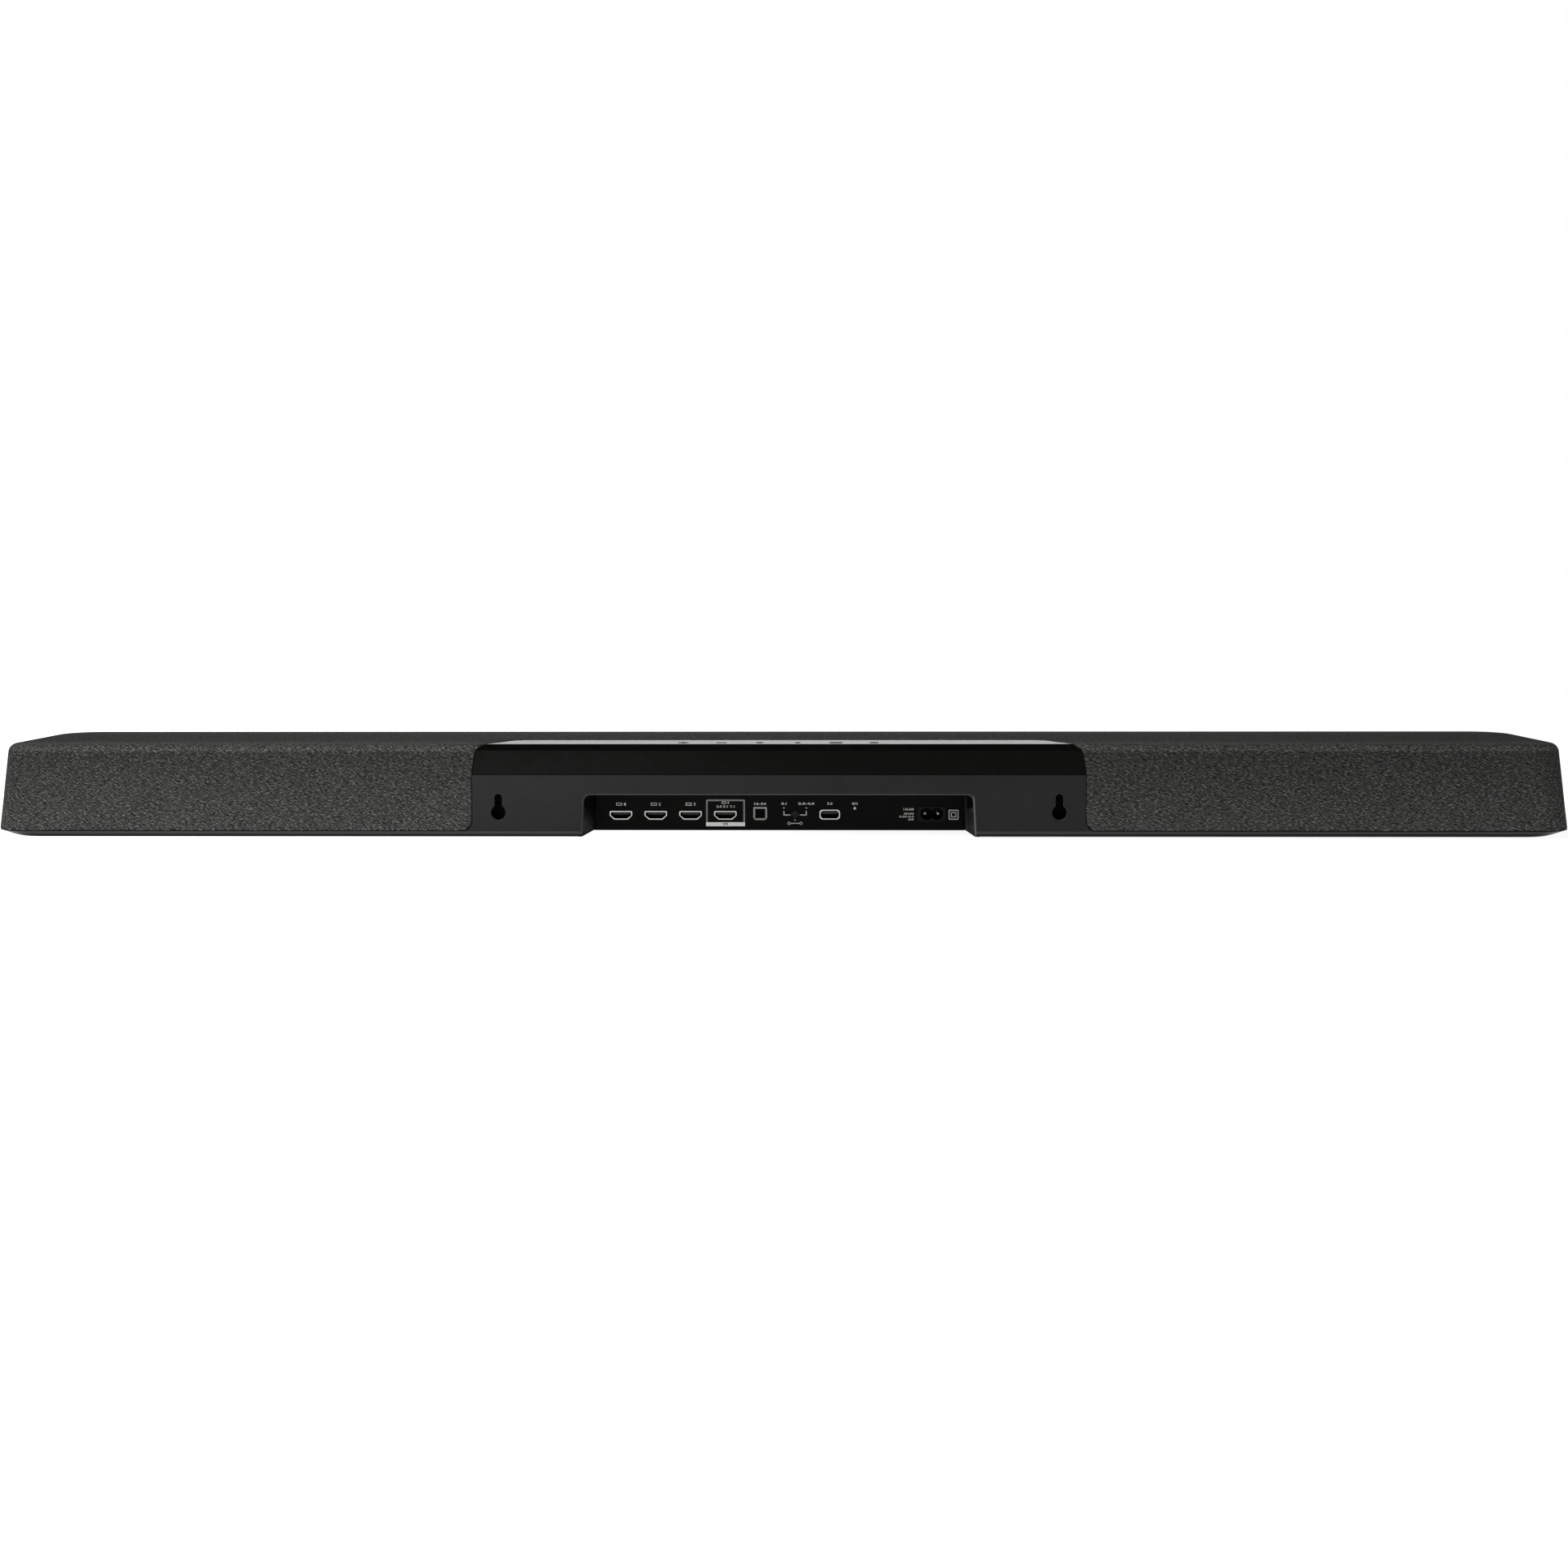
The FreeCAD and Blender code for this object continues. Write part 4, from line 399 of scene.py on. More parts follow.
def window_side(y, z, grow):
    """Half width of the rear window at a depth and height, in mm: flared, upright, then leaning in.

    Everything is grow wider, which leaves room for the gap and the hem."""
    half, bend = WINDOW_HALF + grow, FLARE - grow
    flare = half + bend - np.sqrt(np.maximum(bend**2 - np.minimum(z - FLARE_TOP, 0) ** 2, 0))
    spread = BEND_STEP * (CROWN - z) / BEND_RISE + grow
    along = (REAR - y) / (WINDOW_DEPTH + grow)
    return np.where(z < BEND, flare, SHOULDER_HALF * (1 - along) + FAR_HALF * along + spread)


def window_rim(rows, grow):
    """Edge of the window on the level top, in mm, as many points as the sleeve has rows.

    Straight sides from near the rear edge, rounded far corners, and a straight far edge."""
    far = FAR_EDGE - grow
    start = np.array([window_side(SIDE_START, CROWN, grow), SIDE_START])
    corner = np.array([FAR_HALF + grow, far])
    way = (corner - start) / np.hypot(*(corner - start))
    turn = math.acos(float(-way[0]))
    cut = FAR_RADIUS * math.tan(turn / 2)
    out = np.array([way[1], -way[0]])
    begin = corner - cut * way
    side = STRAIGHT[0] + TURN + STRAIGHT[1] // 2
    bend = STRAIGHT[1] - STRAIGHT[1] // 2
    s = np.linspace(0, 1, side, endpoint=False)[:, None]
    a = np.linspace(0, turn, bend, endpoint=False)[:, None]
    right = np.concatenate([start + s * (begin - start),
                            begin + FAR_RADIUS * out + FAR_RADIUS * (np.sin(a) * way - np.cos(a) * out)])
    middle = rows - 2 * len(right)
    end = corner - [cut, 0.0]
    s = np.linspace(0, 1, middle)[:, None]
    return np.concatenate([right, end + s * (end * [-1, 1] - end), (right * [-1, 1])[::-1]])


def sleeve_points(cloth):
    """Grid of points of the sleeve, in mm: rows go round the bar, columns from the rim to the window.

    A row goes straight up a leaning line, round a fillet and in over the level top to the window's rim."""
    radius = cloth.top_radius / MM
    grow = (cloth.edge_gap + cloth.hem_radius) / MM
    (foot, normal), (head, _) = plan_curve(0.0), plan_curve(1.0)
    height, lean = CROWN - RIM, ((foot - head) * normal).sum(1)
    slant = np.hypot(lean, height)
    touch = (height - radius + radius * lean / slant) / height
    centre = foot + (head - foot) * touch[:, None] - radius * normal * (height / slant)[:, None]
    low = (grow - RIM_TURN) / height
    columns = []
    for k in np.linspace(0, 1, SIDE_COLUMNS):
        t = (low + (touch - low) * k)[:, None]
        columns.append(np.hstack([foot + (head - foot) * t, RIM + height * t]))
    start = np.arctan2(lean, height)
    for k in np.linspace(0, 1, FILLET_COLUMNS + 1)[1:]:
        a = (start + (math.pi / 2 - start) * k)[:, None]
        columns.append(np.hstack([centre + radius * normal * np.cos(a), CROWN - radius + radius * np.sin(a)]))
    grid = np.stack(columns, 1)
    # Along the rear each level is stretched so that it starts and ends at the side of the window.
    n = STRAIGHT[0]
    edge, tangent = window_side(grid[0, :, 1], grid[0, :, 2], grow), grid[n, :, 0]
    s = np.linspace(0, 1, n, endpoint=False)[:, None]
    grid[:n, :, 0] = edge + s * (tangent - edge)
    grid[-n:, :, 0] = -(edge + np.linspace(0, 1, n)[:, None] * (tangent - edge))[::-1]
    goal = window_rim(len(grid), grow)
    s = np.linspace(0, 1, TOP_COLUMNS + 1)[1:, None]
    top = grid[:, -1:, :2] + s[None] * (goal[:, None] - grid[:, -1:, :2])
    return np.concatenate([grid, np.dstack([top, np.full(top.shape[:2], CROWN)])], 1)


def sleeve_mesh(cloth):
    """Points, faces and per-corner UVs of the sleeve with its hem, in metres.

    The hem follows the grid's border: a quarter bend away from the cloth, then straight in behind it."""
    grid = sleeve_points(cloth) * MM
    rows, columns = grid.shape[:2]
    at = np.arange(rows * columns).reshape(rows, columns)
    faces = np.stack([at[:-1, :-1], at[:-1, 1:], at[1:, 1:], at[1:, :-1]], -1).reshape(-1, 4)
    normal = np.cross(np.gradient(grid, axis=1), np.gradient(grid, axis=0))
    normal /= np.maximum(np.linalg.norm(normal, axis=2), 1e-12)[..., None]
    loop = np.concatenate([at[:, 0], at[-1, 1:], at[-2::-1, -1], at[0, -2:0:-1]])
    flat, up = grid.reshape(-1, 3), normal.reshape(-1, 3)
    path, face_up = flat[loop], up[loop]
    way = np.roll(path, -1, 0) - np.roll(path, 1, 0)
    out = np.cross(face_up, way)
    out /= np.linalg.norm(out, axis=1)[:, None]
    r = cloth.hem_radius
    turn_in = np.where(np.arange(len(loop)) < rows, RIM_TURN * MM, cloth.hem_turn)[:, None]
    rings = [path + r * math.sin(a) * out - r * (1 - math.cos(a)) * face_up for a in np.radians(HEM_ANGLES)]
    rings += [path + r * out - (r + turn_in * k) * face_up for k in (0.5, 1.0)]
    points = np.concatenate([flat, *rings])
    ids = np.stack([loop, *(len(flat) + len(loop) * k + np.arange(len(loop)) for k in range(len(rings)))])
    after = np.roll(ids, -1, 1)
    hem = np.stack([ids[:-1], after[:-1], after[1:], ids[1:]], -1).reshape(-1, 4)
    faces = np.concatenate([faces, hem])
    # The side's pattern is laid out along the perimeter and up the section, the top's straight from above.
    run = np.concatenate([[0], np.cumsum(np.linalg.norm(np.diff(grid[:, 0], axis=0), axis=1))])
    rise = np.cumsum(np.linalg.norm(np.diff(grid, axis=1, prepend=grid[:, :1]), axis=2), 1)
    side = np.dstack([np.repeat(run[:, None], columns, 1), rise]).reshape(-1, 2)
    source = np.concatenate([np.arange(len(flat)), np.tile(loop, len(rings))])
    level = np.concatenate([np.tile(np.arange(columns), rows), np.tile(loop % columns, len(rings))])
    top = (level[faces].min(1) >= SIDE_COLUMNS + FILLET_COLUMNS - 1)[:, None, None]
    uv = np.where(top, flat[source, :2][faces], side[source][faces])
    return points, faces, uv.reshape(-1, 2)


class SOUNDBAR_OT_cloth(bpy.types.Operator):
    """Makes the stretched cloth sleeve, with its edge turned in round the rim and the rear window"""

    bl_idname = "soundbar.cloth"
    bl_label = "Cloth sleeve"

    def execute(self, context):
        cloth = context.scene.soundbar_cloth
        points, faces, uv = sleeve_mesh(cloth)
        piece = new_piece("cloth_sleeve", points, faces.tolist(), heather_cloth(cloth))
        layer = piece.data.uv_layers.new(name="cloth")
        layer.data.foreach_set("uv", uv.ravel())
        piece.data.shade_smooth()
        wall = piece.modifiers.new("wall", "SOLIDIFY")
        wall.thickness, wall.offset = cloth.thickness, -1.0
        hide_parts("fabric_wrap")
        return {"FINISHED"}


# ---- Mouldings ----
class SOUNDBAR_OT_mouldings(bpy.types.Operator):
    """Finishes the cabinet halves, the grille frame, the gasket, the feet and the screws"""

    bl_idname = "soundbar.mouldings"
    bl_label = "Cabinet mouldings"

    def execute(self, context):
        # Spark-eroded ABS: satin, with a 0.3 mm grain drawn at 0.6 mm so that it shows.
        dress(moulded("spark_eroded_abs", "#1d1d1d", grain=0.6, depth=0.02, roughness=0.4, specular=0.15,
                      tint=cabinet_tints), "lower_cabinet")
        # Smooth black ABS inside the box: even and half matt.
        dress(moulded("black_abs", "#141414", grain=1.2, depth=0.01, roughness=0.45), "upper_cabinet")
        # Black ABS of the grille: matt so that it doesn't shine through the cloth.
        dress(moulded("matt_black_abs", "#101010", grain=0.8, depth=0.02, roughness=0.7), "grille_frame")
        # Closed-cell foam: soft grey with open-looking 1 mm cells.
        dress(moulded("closed_cell_foam", "#3a3a3a", grain=1.0, depth=0.15, roughness=0.95, specular=0.2,
                      mottle=0.2), "cabinet_gasket")
        # Moulded rubber: nearly black and matt.
        dress(moulded("moulded_rubber", "#161616", grain=0.5, depth=0.03, roughness=0.85, specular=0.35),
              "feet")
        # Zinc-plated steel: pale, a little frosted.
        dress(metal("zinc_plated_steel", "#9a9a96", roughness=0.35), "cabinet_screws")
        return {"FINISHED"}


class SOUNDBAR_OT_controls(bpy.types.Operator):
    """Finishes the glossy control panel, its keys and the strip board under them"""

    bl_idname = "soundbar.controls"
    bl_label = "Controls"

    def execute(self, context):
        # Piano-black ABS: a smooth mirror-like skin with the faint ripple of a polished mould.
        dress(moulded("piano_black_abs", "#060605", grain=9.0, depth=0.0012, roughness=0.1, specular=0.045,
                      mottle=0.05), "control_panel")
        # Soft-touch keys: matt dark grey.
        dress(moulded("soft_touch_elastomer", "#454544", grain=0.4, depth=0.01, roughness=0.8, specular=0.04,
                      edge=0.15),
              "key_power", "key_source", "key_pair", "key_mode", "key_volume_down", "key_volume_up")
        # Nylon bodies of the switches: black, half matt.
        dress(moulded("black_nylon_switch", "#121212", grain=0.5, depth=0.01, roughness=0.5), "key_switches")
        # Solder mask on the boards: green and slightly shiny.
        dress(moulded("solder_mask", "#1d4a2c", grain=1.2, depth=0.02, roughness=0.35),
              "key_board", "display_board", "main_board", "power_board")
        return {"FINISHED"}


class SOUNDBAR_OT_connectors(bpy.types.Operator):
    """Finishes the connector panel, its sockets, button and light"""

    bl_idname = "soundbar.connectors"
    bl_label = "Connectors"

    def execute(self, context):
        # Matt black ABS of the connector panel: nearly black, fine grain.
        dress(moulded("fine_grain_abs", "#080807", grain=0.5, depth=0.01, roughness=0.6, specular=0.07),
              "io_panel")
        # Nickel-plated steel shells: bright, with faint drawing marks.
        shells = ["data_socket"] + [f"video_socket_{i}" for i in range(1, 5)]
        dress(metal("nickel_plated_steel", "#b4b2ae", roughness=0.3, stretch=(1, 0.1, 1), tint=shell_tints),
              *shells)
        # Glass-filled nylon of the inlet: black and matt.
        dress(moulded("glass_filled_nylon", "#141414", grain=0.4, depth=0.01, roughness=0.6, specular=0.1,
                      edge=0.15), "mains_inlet")
        # Plain nylon: deep black on the shutter, a dull grey on the contact carriers.
        dress(moulded("black_nylon", "#050505", grain=0.4, depth=0.01, roughness=0.7, specular=0.05,
                      edge=0.15), "optical_shutter")
        dress(moulded("grey_nylon", "#3a3a3a", grain=0.4, depth=0.01, roughness=0.6, specular=0.2, edge=0.15),
              "data_tongue", "video_tongues")
        # Grey acetal frame of the optical socket: pale and even.
        dress(moulded("grey_acetal", "#8c8a87", grain=0.6, depth=0.005, roughness=0.5, edge=0.2),
              "optical_socket")
        # Nickel-plated brass pins: pale with a soft shine.
        dress(metal("nickel_plated_brass", "#dedcd6", roughness=0.5), "mains_pins")
        # Black ABS of the button: satin with a softened edge.
        dress(moulded("black_button_abs", "#080808", grain=0.6, depth=0.006, roughness=0.5, specular=0.2,
                      edge=0.25), "connect_button")
        # Frosted polycarbonate of the unlit light: pale and smooth.
        dress(moulded("frosted_polycarbonate", "#b9bcbd", grain=0.6, depth=0.004, roughness=0.25, edge=0.1),
              "status_light")
        return {"FINISHED"}


class SOUNDBAR_OT_electronics(bpy.types.Operator):
    """Finishes the boards' parts inside the cabinet and the display window"""

    bl_idname = "soundbar.electronics"
    bl_label = "Electronics"

    def execute(self, context):
        # Lacquered copper windings and what stands beside them: a dull brown with 0.7 mm turns.
        dress(moulded("wound_parts", "#5a4a20", grain=0.7, depth=0.08, roughness=0.5), "power_components")
        # Black anodised aluminium: dark and brushed along its extrusion.
        dress(metal("black_anodised_aluminium", "#1a1a1a", roughness=0.45, stretch=(1, 0.1, 1)), "heat_sink")
        # Tinned steel can: pale, a little frosted.
        dress(metal("tinned_steel", "#a8a8a4", roughness=0.35), "wireless_module")
        # Smoked acrylic: nearly black and glossy.
        dress(moulded("smoked_acrylic", "#0b0a0c", grain=6.0, depth=0.001, roughness=0.08), "display_window")
        return {"FINISHED"}


class SOUNDBAR_OT_drivers(bpy.types.Operator):
    """Finishes the loudspeakers behind the cloth"""

    bl_idname = "soundbar.drivers"
    bl_label = "Loudspeakers"

    def execute(self, context):
        woofers = range(1, 7)
        # Glass-filled plastic baskets: black, matt, with a rough grain.
        dress(moulded("glass_filled_basket", "#161616", grain=0.6, depth=0.02, roughness=0.6),
              *(f"woofer_basket_{i}" for i in woofers))
        # Painted steel: dark and satin.
        dress(metal("painted_steel", "#202020", roughness=0.5),
              "upfiring_basket_left", "upfiring_basket_right")
        # Pressed polypropylene cones: nearly black with the coarse mark of the pressing.
        dress(moulded("pressed_polypropylene", "#191919", grain=1.5, depth=0.05, roughness=0.5),
              *(f"woofer_cone_{i}" for i in woofers), "upfiring_cone_left", "upfiring_cone_right")
        # Butyl rubber surrounds: black and matt.
        dress(moulded("butyl_rubber", "#0f0f0f", grain=0.8, depth=0.01, roughness=0.6),
              "woofer_surrounds", "upfiring_surrounds")
        # Galvanised steel motors: grey with a frosted spangle.
        dress(metal("galvanised_steel", "#8c8c88", roughness=0.4), "woofer_motors")
        # Plain ABS housings of the tweeters: black and half matt.
        dress(moulded("tweeter_abs", "#141414", grain=0.6, depth=0.01, roughness=0.5), "tweeter_bodies")
        # Coated silk domes: black, matt, with a fine weave.
        dress(moulded("coated_silk", "#1a1a1c", grain=0.3, depth=0.03, roughness=0.6),
              *(f"tweeter_dome_{i}" for i in range(1, 4)))
        return {"FINISHED"}


# ---- Printed markings ----
# All places below are in mm: u runs across the connector panel as seen from behind, v is the height.
FACE = 25.5  # depth of the panel's face
INK = 0.05  # thickness of the pad print
VIDEO_PLACES = (-102.8, -80.2, -57.6)  # the first three video sockets
BOX_PLACE = -34.9  # the box round the fourth one
OPTICAL_PLACE, DATA_PLACE, LIGHT_PLACE, MAINS_END = -12.4, 32.7, 48.9, 87.2
JOINED_PLACES = (6.3, 14.1)  # the linked pair under the button
SQUARES = (112.9, 11.7)  # middle of the double insulation sign
RATINGS = (("110-240", 15.2, 6.7, 1.6), ("50/60", 12.4, 6.5, 1.2), ("0.25-0.5", 10.5, 9.5, 1.2),
           ("30", 8.6, 3.7, 1.2))  # text, v, width and height
# Bars as (u0, u1, v0, v1).
BRACKETS = ((2.7, 3.3, 11.8, 14.1), (2.7, 7.35, 11.2, 11.8),  # one bracket beside the button
            (17.2, 17.8, 11.8, 14.1), (13.4, 17.8, 11.2, 11.8),  # and the other
            (2.5, 3.5, 15.8, 16.4), (17.0, 18.0, 15.8, 16.4),  # a dash over each
            (9.9, 10.5, 7.7, 8.6), (7.28, 13.12, 5.8, 6.3))  # under the button, and the pair's link
SYMBOL_BAR = ((-35.6, -34.2, 4.55, 4.75),)  # foot of the small screen on the white bar
LEAST_RADIUS = 0.02  # of a line's inner corners


def rounded(half_u, half_v, radius):
    """Closed outline of a rounded rectangle, in mm: a quarter turn about each corner's centre."""
    a = np.radians(90.0 * np.arange(4)[:, None] + np.linspace(0, 90, 6)[None])
    centres = np.array([[1, 1], [-1, 1], [-1, -1], [1, -1]]) * [half_u - radius, half_v - radius]
    return (centres[:, None] + radius * np.stack([np.cos(a), np.sin(a)], -1)).reshape(-1, 2)


def line_round(u, v, half_u, half_v, radius, width, ink=INK):
    """Closed band of a printed line: two rounded rectangles, the inner one smaller by the line's width."""
    outer = rounded(half_u, half_v, radius)
    inner = rounded(half_u - width, half_v - width, max(radius - width, LEAST_RADIUS))
    rings = [(outer, 0.0), (outer, ink), (inner, ink), (inner, 0.0)]
    points = np.concatenate([np.column_stack([ring + [u, v], np.full(len(ring), w)]) for ring, w in rings])
    at = np.arange(len(points)).reshape(4, -1)
    along, over = np.roll(at, -1, 1), np.roll(at, -1, 0)
    faces = np.stack([at, along, np.roll(over, -1, 1), over], -1).reshape(-1, 4)
    return points, faces.tolist()


def patch_round(u, v, half_u, half_v, radius, ink):
    """Solid printed patch: a rounded rectangle drawn up to the thickness of its ink."""
    ring = rounded(half_u, half_v, radius) + [u, v]
    points = np.concatenate([np.column_stack([ring, np.full(len(ring), w)]) for w in (0.0, ink)])
    n = len(ring)
    low = np.arange(n)
    after = np.roll(low, -1)
    sides = np.stack([low, after, after + n, low + n], -1).tolist()
    return points, sides + [low[::-1].tolist(), (low + n).tolist()]


def bars(boxes):
    """Printed bars given as (u0, u1, v0, v1) in mm: blocks of eight corners and six faces."""
    b = np.asarray(boxes, float)
    b = np.column_stack([b, np.zeros(len(b)), np.full(len(b), INK)])
    corners = [[0, 2, 4], [1, 2, 4], [1, 3, 4], [0, 3, 4], [0, 2, 5], [1, 2, 5], [1, 3, 5], [0, 3, 5]]
    sides = np.array([[0, 3, 2, 1], [4, 5, 6, 7], [0, 1, 5, 4], [1, 2, 6, 5], [2, 3, 7, 6], [3, 0, 4, 7]])
    faces = sides + 8 * np.arange(len(b))[:, None, None]
    return b[:, corners].reshape(-1, 3), faces.reshape(-1, 4).tolist()


def numbers(text, u, v, width, height):
    """Printed numbers in plain figures, scaled to a width and height in mm about the middle (u, v)."""
    curve = bpy.data.curves.new("figures", "FONT")
    # The strokes are made a little bolder, as ink spreads.
    curve.body, curve.extrude, curve.offset, curve.resolution_u = text, 0.5, 0.03, 3
    holder = bpy.data.objects.new("figures", curve)
    mesh = bpy.data.meshes.new_from_object(holder)
    bm = bmesh.new()
    bm.from_mesh(mesh)
    bmesh.ops.remove_doubles(bm, verts=bm.verts, dist=1e-5)
    bm.to_mesh(mesh)
    bm.free()
    points = np.empty(3 * len(mesh.vertices))
    mesh.vertices.foreach_get("co", points)
    points = points.reshape(-1, 3)
    low, high = points.min(0), points.max(0)
    points = (points - (low + high) / 2) / (high - low) * [width, height, INK] + [u, v, INK / 2]
    faces = [list(face.vertices) for face in mesh.polygons]
    bpy.data.objects.remove(holder)
    bpy.data.meshes.remove(mesh)
    bpy.data.curves.remove(curve)
    return points, faces


def printed(name, marks, material):
    """Joins marks drawn as (u, v) seen from behind into one piece on the connector panel."""
    starts = np.cumsum([0] + [len(points) for points, _ in marks])
    points = np.concatenate([points for points, _ in marks])
    faces = [[start + i for i in face] for start, (_, some) in zip(starts, marks) for face in some]
    placed = np.column_stack([-points[:, 0], FACE + points[:, 2], points[:, 1]]) * MM
    return new_piece(name, placed, faces, material)


class SOUNDBAR_OT_markings(bpy.types.Operator):
    """Prints plain numbers, lines and symbols beside the sockets"""

    bl_idname = "soundbar.markings"
    bl_label = "Printed markings"

    def execute(self, context):
        # Pad-printed inks: thin and matt, with a slight unevenness; pale grey, grey, white and dark.
        print_finish = {"depth": 0.002, "roughness": 0.7, "specular": 0.2, "edge": 0.02}
        ink = moulded("pad_printed_ink", "#b8b8b6", grain=0.5, **print_finish)
        line = moulded("grey_line_ink", "#7e7d7b", grain=0.5, **print_finish)
        white = moulded("white_bar_ink", "#e6e6e4", grain=0.8, mottle=0.04, **print_finish)
        marks = []
        # A screen and its number over each of the first three sockets.
        for number, u in enumerate(VIDEO_PLACES, 1):
            marks += [line_round(u - 1.2, 18.5, 2.0, 0.95, 0.3, 0.45),
                      numbers(str(number), u + 2.6, 18.5, 1.2, 1.9)]
        # The fourth socket's screen and number, and the channel counts it takes.
        marks += [line_round(BOX_PLACE - 1.0, 19.5, 1.5, 0.8, 0.3, 0.4),
                  numbers("4", BOX_PLACE + 1.7, 19.5, 1.3, 1.6),
                  numbers("2.0 5.1 7.1", BOX_PLACE, 17.0, 11.8, 1.6)]
        # Optical: bit depths. Data socket: its volts. Light: off and on.
        marks += [numbers("16-24", OPTICAL_PLACE, 18.8, 7.7, 1.6), numbers("5.0", DATA_PLACE, 18.9, 3.4, 1.6),
                  numbers("0/1", LIGHT_PLACE, 18.9, 3.6, 1.7)]
        # Button: two brackets up to the channels it joins, and a linked pair below.
        marks += [numbers("0.1", 3.0, 18.9, 3.2, 1.6), numbers("2.0-4.0", 17.5, 18.9, 10.5, 1.6),
                  bars(BRACKETS)]
        marks += [line_round(u, 6.05, 1.0, 1.0, 1.0, 0.4) for u in JOINED_PLACES]
        # Supply ratings in plain numbers that end in one line, and the nested squares of double insulation.
        marks += [numbers(text, MAINS_END - width / 2, v, width, height)
                  for text, v, width, height in RATINGS]
        marks += [line_round(*SQUARES, 3.25, 3.25, 0.5, 0.7), line_round(*SQUARES, 1.7, 1.7, 0.2, 0.6)]
        printed("panel_figures", marks, ink)
        # The box round the fourth socket, the white bar across its foot, and a small screen on the bar.
        outline = [line_round(BOX_PLACE, 12.9, 12.65, 8.7, 1.2, 1.1)]
        printed("socket_outline", outline, line)
        bar = [patch_round(BOX_PLACE, 5.45, 12.65, 1.3, 0.4, 1.6 * INK)]
        printed("socket_bar", bar, white)
        screen = [line_round(BOX_PLACE, 5.6, 1.5, 0.7, 0.2, 0.4, 2.2 * INK), bars(SYMBOL_BAR)]
        dark = moulded("dark_ink", "#4a4a4a", grain=0.5, **print_finish)
        printed("bar_symbol", screen, dark)
        return {"FINISHED"}


# ---- Studio ----
FLOOR_RADIUS, FLOOR_SIDES = 1.6, 96  # radius in m
TOOTH = 1.25  # size of the acrylic's fine tooth, mm: drawn far coarser than it is so that it shows
BESIDE = (60.0, 260.0, 60.0)  # zone of the table beside the bar, by distance from the middle, mm
LAMP_X, LAMP_Y = (-200.0, 500.0, 100.0), (150.0, 800.0, 100.0)  # zone of the lamp under the table, mm
LAMP_RISE = {"From Min": -0.1, "From Max": 0.3}  # by x, m
BRIGHTER_END = {"From Min": -0.12, "From Max": 0.42, "To Min": 1.0, "To Max": 1.45}  # by x, m
# Brightness of the room by the direction looked in: a pale wall in front, dark overhead.
WALL = {"From Min": 0.2, "From Max": -0.6, "To Min": 0.12, "To Max": 0.9}  # by y
OVERHEAD = {"From Min": 0.15, "From Max": 0.45, "To Min": 1.0, "To Max": 0.06}  # by z
# Soft lights that face the bar: name, place (m), width (m) and power (W).
LIGHTS = (("key_left", (0.75, 0.95, 1.35), 0.7, 24.0), ("fill_right", (-1.4, 1.5, 1.2), 1.2, 3.0),
          ("front_soft", (0.2, -2.3, 1.0), 1.0, 7.0))
CAMERA_PLACE = (-0.0282, 1.4066, 0.1689)  # m
CAMERA_TURNS = (1.042, 5.673, -0.094)  # yaw off the -y direction, pitch down and roll, degrees
UP = np.array([0.0, 0.0, 1.0])


def aim(obj, place, right, up, back):
    """Places a light or the camera, turned so that its axes lie along three directions."""
    turn = Matrix(np.column_stack([right, up, back]).tolist())
    obj.matrix_world = Matrix.Translation(place) @ turn.to_4x4()


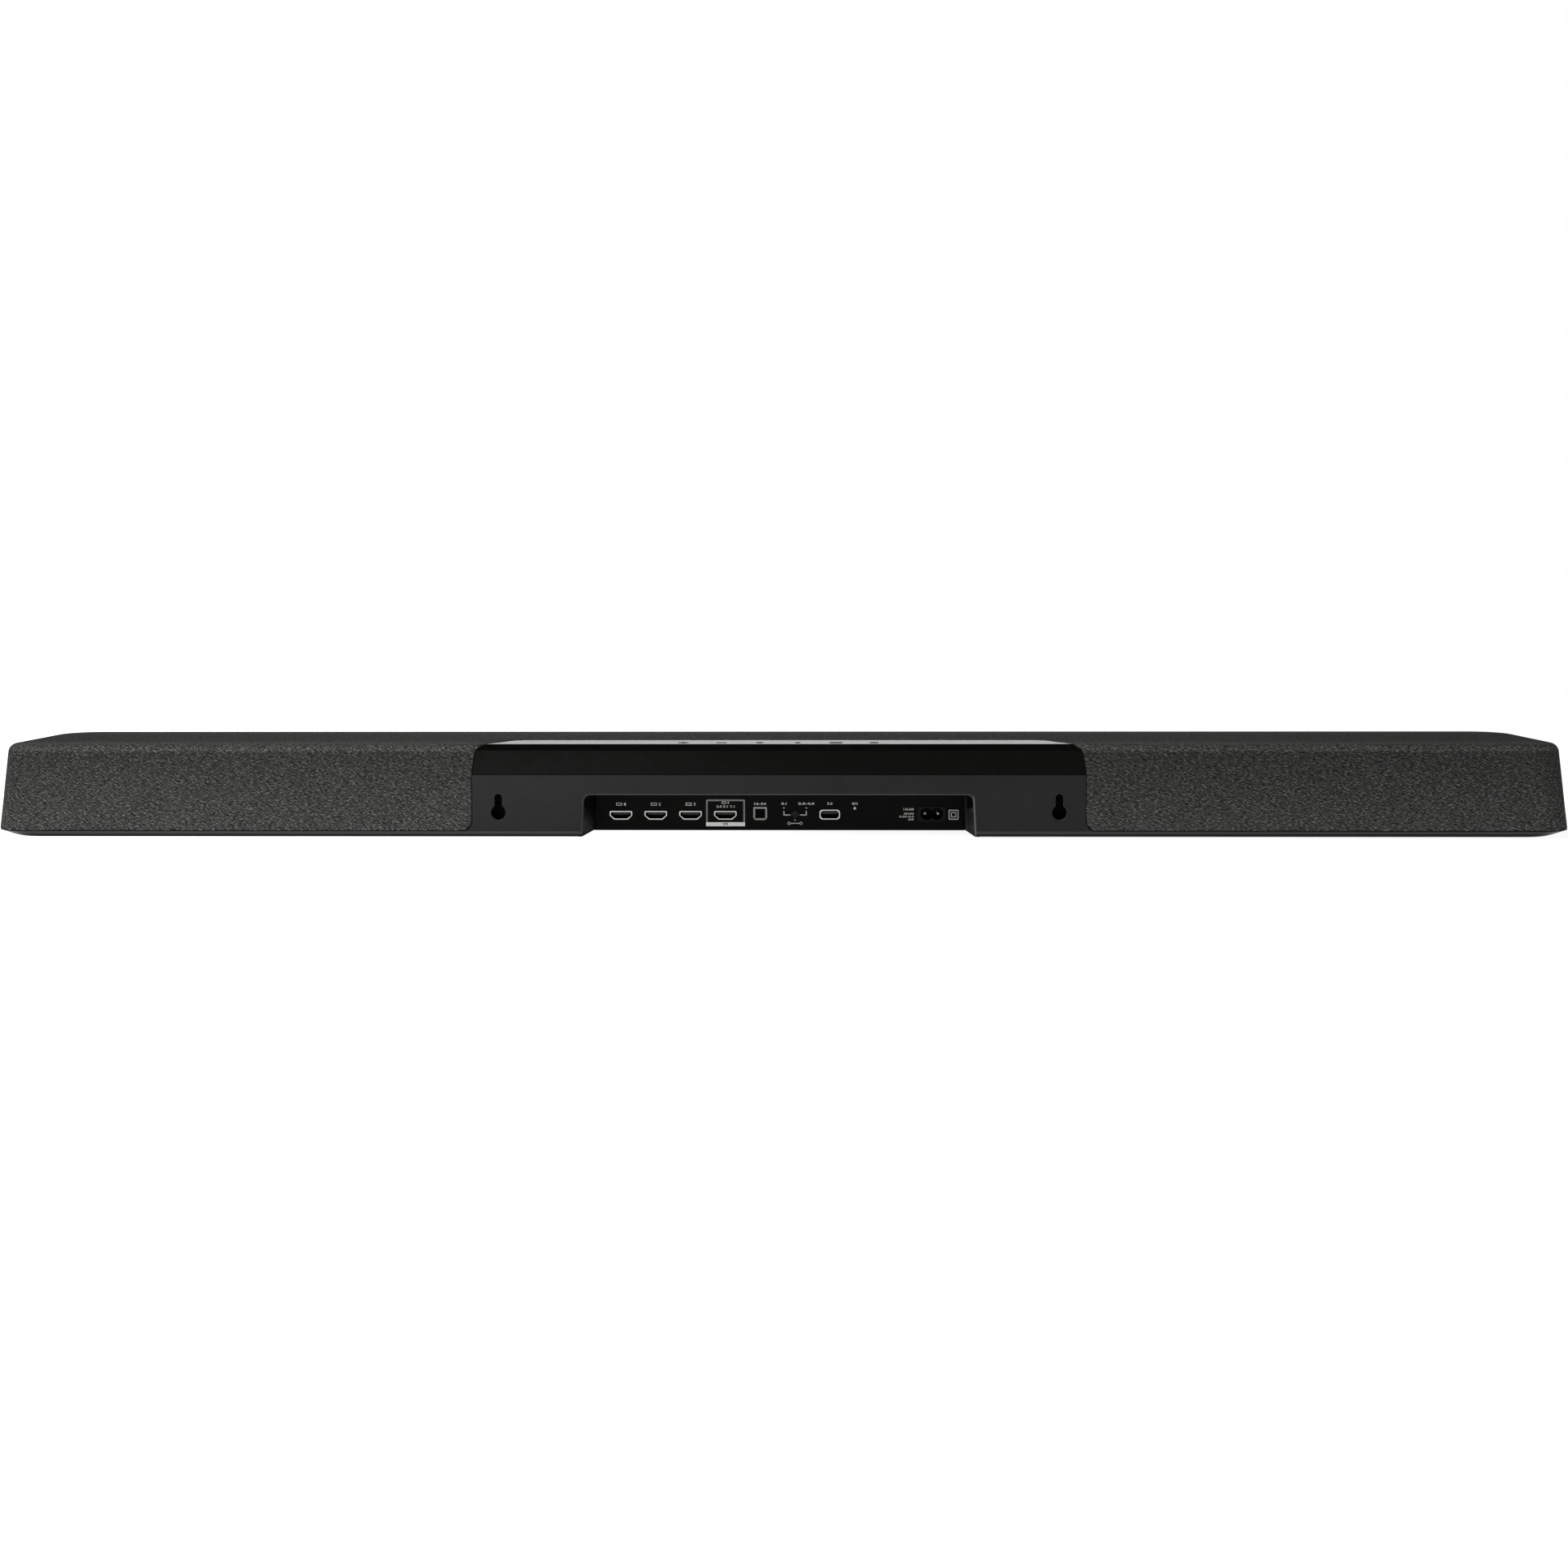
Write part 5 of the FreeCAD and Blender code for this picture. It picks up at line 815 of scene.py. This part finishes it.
class SOUNDBAR_OT_stage(bpy.types.Operator):
    """Sets the pale lit table, the soft light and the camera behind the bar"""

    bl_idname = "soundbar.stage"
    bl_label = "Studio"

    def execute(self, context):
        stage = context.scene.soundbar_stage
        scene = context.scene
        # Opal acrylic of a light table: pale, matt and lit from below, so shadows on it are faint.
        material, tree = new_material("opal_acrylic")
        at = add(tree, "ShaderNodeTexCoord").outputs["Object"]
        tooth = add(tree, "ShaderNodeTexNoise", {"Vector": at, "Scale": 1 / (TOOTH * MM)}).outputs[0]
        bump = add(tree, "ShaderNodeBump", {"Height": tooth, "Strength": 0.1,
                                            "Distance": 0.05 * MM}).outputs[0]
        x, y, _ = add(tree, "ShaderNodeSeparateXYZ", {0: at}).outputs
        away = add(tree, "ShaderNodeMath", {0: y}, operation="ABSOLUTE").outputs[0]
        near = band(tree, away, BESIDE)
        lean = add(tree, "ShaderNodeMapRange", {"Value": x, **BRIGHTER_END},
                   interpolation_type="SMOOTHSTEP").outputs[0]
        glow = add(tree, "ShaderNodeMath", {0: near, 1: stage.tubes, 2: stage.table},
                   operation="MULTIPLY_ADD").outputs[0]
        glow = add(tree, "ShaderNodeMath", {0: glow, 1: lean}, operation="MULTIPLY").outputs[0]
        # One lamp under the table, behind the bar and to +x, shows only as a sheen on what is glossy.
        under = add(tree, "ShaderNodeMapRange", {"Value": x, **LAMP_RISE},
                    interpolation_type="SMOOTHSTEP").outputs[0]
        for value, zone in ((x, LAMP_X), (y, LAMP_Y)):
            under = add(tree, "ShaderNodeMath", {0: under, 1: band(tree, value, zone)},
                        operation="MULTIPLY").outputs[0]
        glow = add(tree, "ShaderNodeMath", {0: under, 1: stage.lamp, 2: glow},
                   operation="MULTIPLY_ADD").outputs[0]
        close(tree, {"Base Color": (*stage.floor, 1.0), "Roughness": 0.9, "Specular IOR Level": 0.1,
                     "Normal": bump, "Emission Color": (1, 1, 1, 1), "Emission Strength": glow})
        angle = np.linspace(0, 2 * math.pi, FLOOR_SIDES, endpoint=False)
        rim = FLOOR_RADIUS * np.column_stack([np.cos(angle), np.sin(angle), 0 * angle])
        mesh = bpy.data.meshes.new("studio_floor")
        mesh.from_pydata(rim.tolist(), [], [list(range(FLOOR_SIDES))])
        mesh.materials.append(material)
        new_object("studio_floor", mesh)

        # The room: a pale wall beyond the bar's front, which the glossy top mirrors, dim behind and overhead.
        world = bpy.data.worlds.new("soft_studio")
        world.use_nodes = True
        tree = world.node_tree
        tree.nodes.clear()
        way = add(tree, "ShaderNodeTexCoord").outputs["Generated"]
        way = add(tree, "ShaderNodeSeparateXYZ", {0: way}).outputs
        wall = add(tree, "ShaderNodeMapRange", {"Value": way[1], **WALL}).outputs[0]
        low = add(tree, "ShaderNodeMapRange", {"Value": way[2], **OVERHEAD}).outputs[0]
        glow = add(tree, "ShaderNodeMath", {0: wall, 1: low}, operation="MULTIPLY").outputs[0]
        room = add(tree, "ShaderNodeBackground", {"Color": (1, 1, 1, 1), "Strength": glow}).outputs[0]
        white = add(tree, "ShaderNodeBackground", {"Color": (1, 1, 1, 1), "Strength": 1.0}).outputs[0]
        path = add(tree, "ShaderNodeLightPath").outputs["Is Camera Ray"]
        both = add(tree, "ShaderNodeMixShader", {0: path, 1: room, 2: white}).outputs[0]
        add(tree, "ShaderNodeOutputWorld", {"Surface": both})
        scene.world = world

        for name, place, size, power in LIGHTS:
            lamp = bpy.data.lights.new(name, "AREA")
            lamp.size, lamp.energy = size, power
            back = np.array(place) / np.linalg.norm(place)
            side = np.cross(UP, back)
            side /= np.linalg.norm(side)
            aim(new_object(name, lamp), place, side, np.cross(back, side), back)

        camera = bpy.data.cameras.new("camera")
        camera.sensor_width, camera.lens = 36.0, stage.lens
        camera.clip_start, camera.clip_end = 0.01, 100.0
        yaw, pitch, roll = (math.radians(a) for a in CAMERA_TURNS)
        ahead = np.array([math.sin(yaw), -math.cos(yaw), 0.0])
        right = np.array([-math.cos(yaw), -math.sin(yaw), 0.0])
        look = ahead * math.cos(pitch) - UP * math.sin(pitch)
        rise = UP * math.cos(pitch) + ahead * math.sin(pitch)
        level = right * math.cos(roll) + rise * math.sin(roll)
        upright = rise * math.cos(roll) - right * math.sin(roll)
        scene.camera = new_object("camera", camera)
        aim(scene.camera, CAMERA_PLACE, level, upright, -look)
        scene.view_settings.view_transform = "Standard"
        return {"FINISHED"}


class SOUNDBAR_PT_panel(bpy.types.Panel):
    """Sidebar panel that lists the soundbar's pieces and their settings"""

    bl_label = "Soundbar"
    bl_space_type = "VIEW_3D"
    bl_region_type = "UI"
    bl_category = "Soundbar"

    def draw(self, context):
        scene = context.scene
        rows = ((scene.soundbar_cloth, ("cloth",)), (None, STEPS), (scene.soundbar_stage, ("stage",)))
        for group, ops in rows:
            box = self.layout.box()
            for name in group.__annotations__ if group else ():
                box.prop(group, name)
            for op in ops:
                box.operator(f"soundbar.{op}")


STEPS = ("mouldings", "controls", "connectors", "markings", "electronics", "drivers")
CLASSES = (ClothSettings, StageSettings, SOUNDBAR_OT_cloth, SOUNDBAR_OT_mouldings, SOUNDBAR_OT_controls,
           SOUNDBAR_OT_connectors, SOUNDBAR_OT_markings, SOUNDBAR_OT_electronics, SOUNDBAR_OT_drivers,
           SOUNDBAR_OT_stage, SOUNDBAR_PT_panel)


def register():
    for cls in CLASSES:
        bpy.utils.register_class(cls)
    bpy.types.Scene.soundbar_cloth = PointerProperty(type=ClothSettings)
    bpy.types.Scene.soundbar_stage = PointerProperty(type=StageSettings)


def unregister():
    del bpy.types.Scene.soundbar_cloth, bpy.types.Scene.soundbar_stage
    for cls in reversed(CLASSES):
        bpy.utils.unregister_class(cls)


def main():
    """Makes every piece in order."""
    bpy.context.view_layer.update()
    register()
    for step in ("stage", "cloth", *STEPS):
        getattr(bpy.ops.soundbar, step)()


if __name__ == "__main__":
    main()
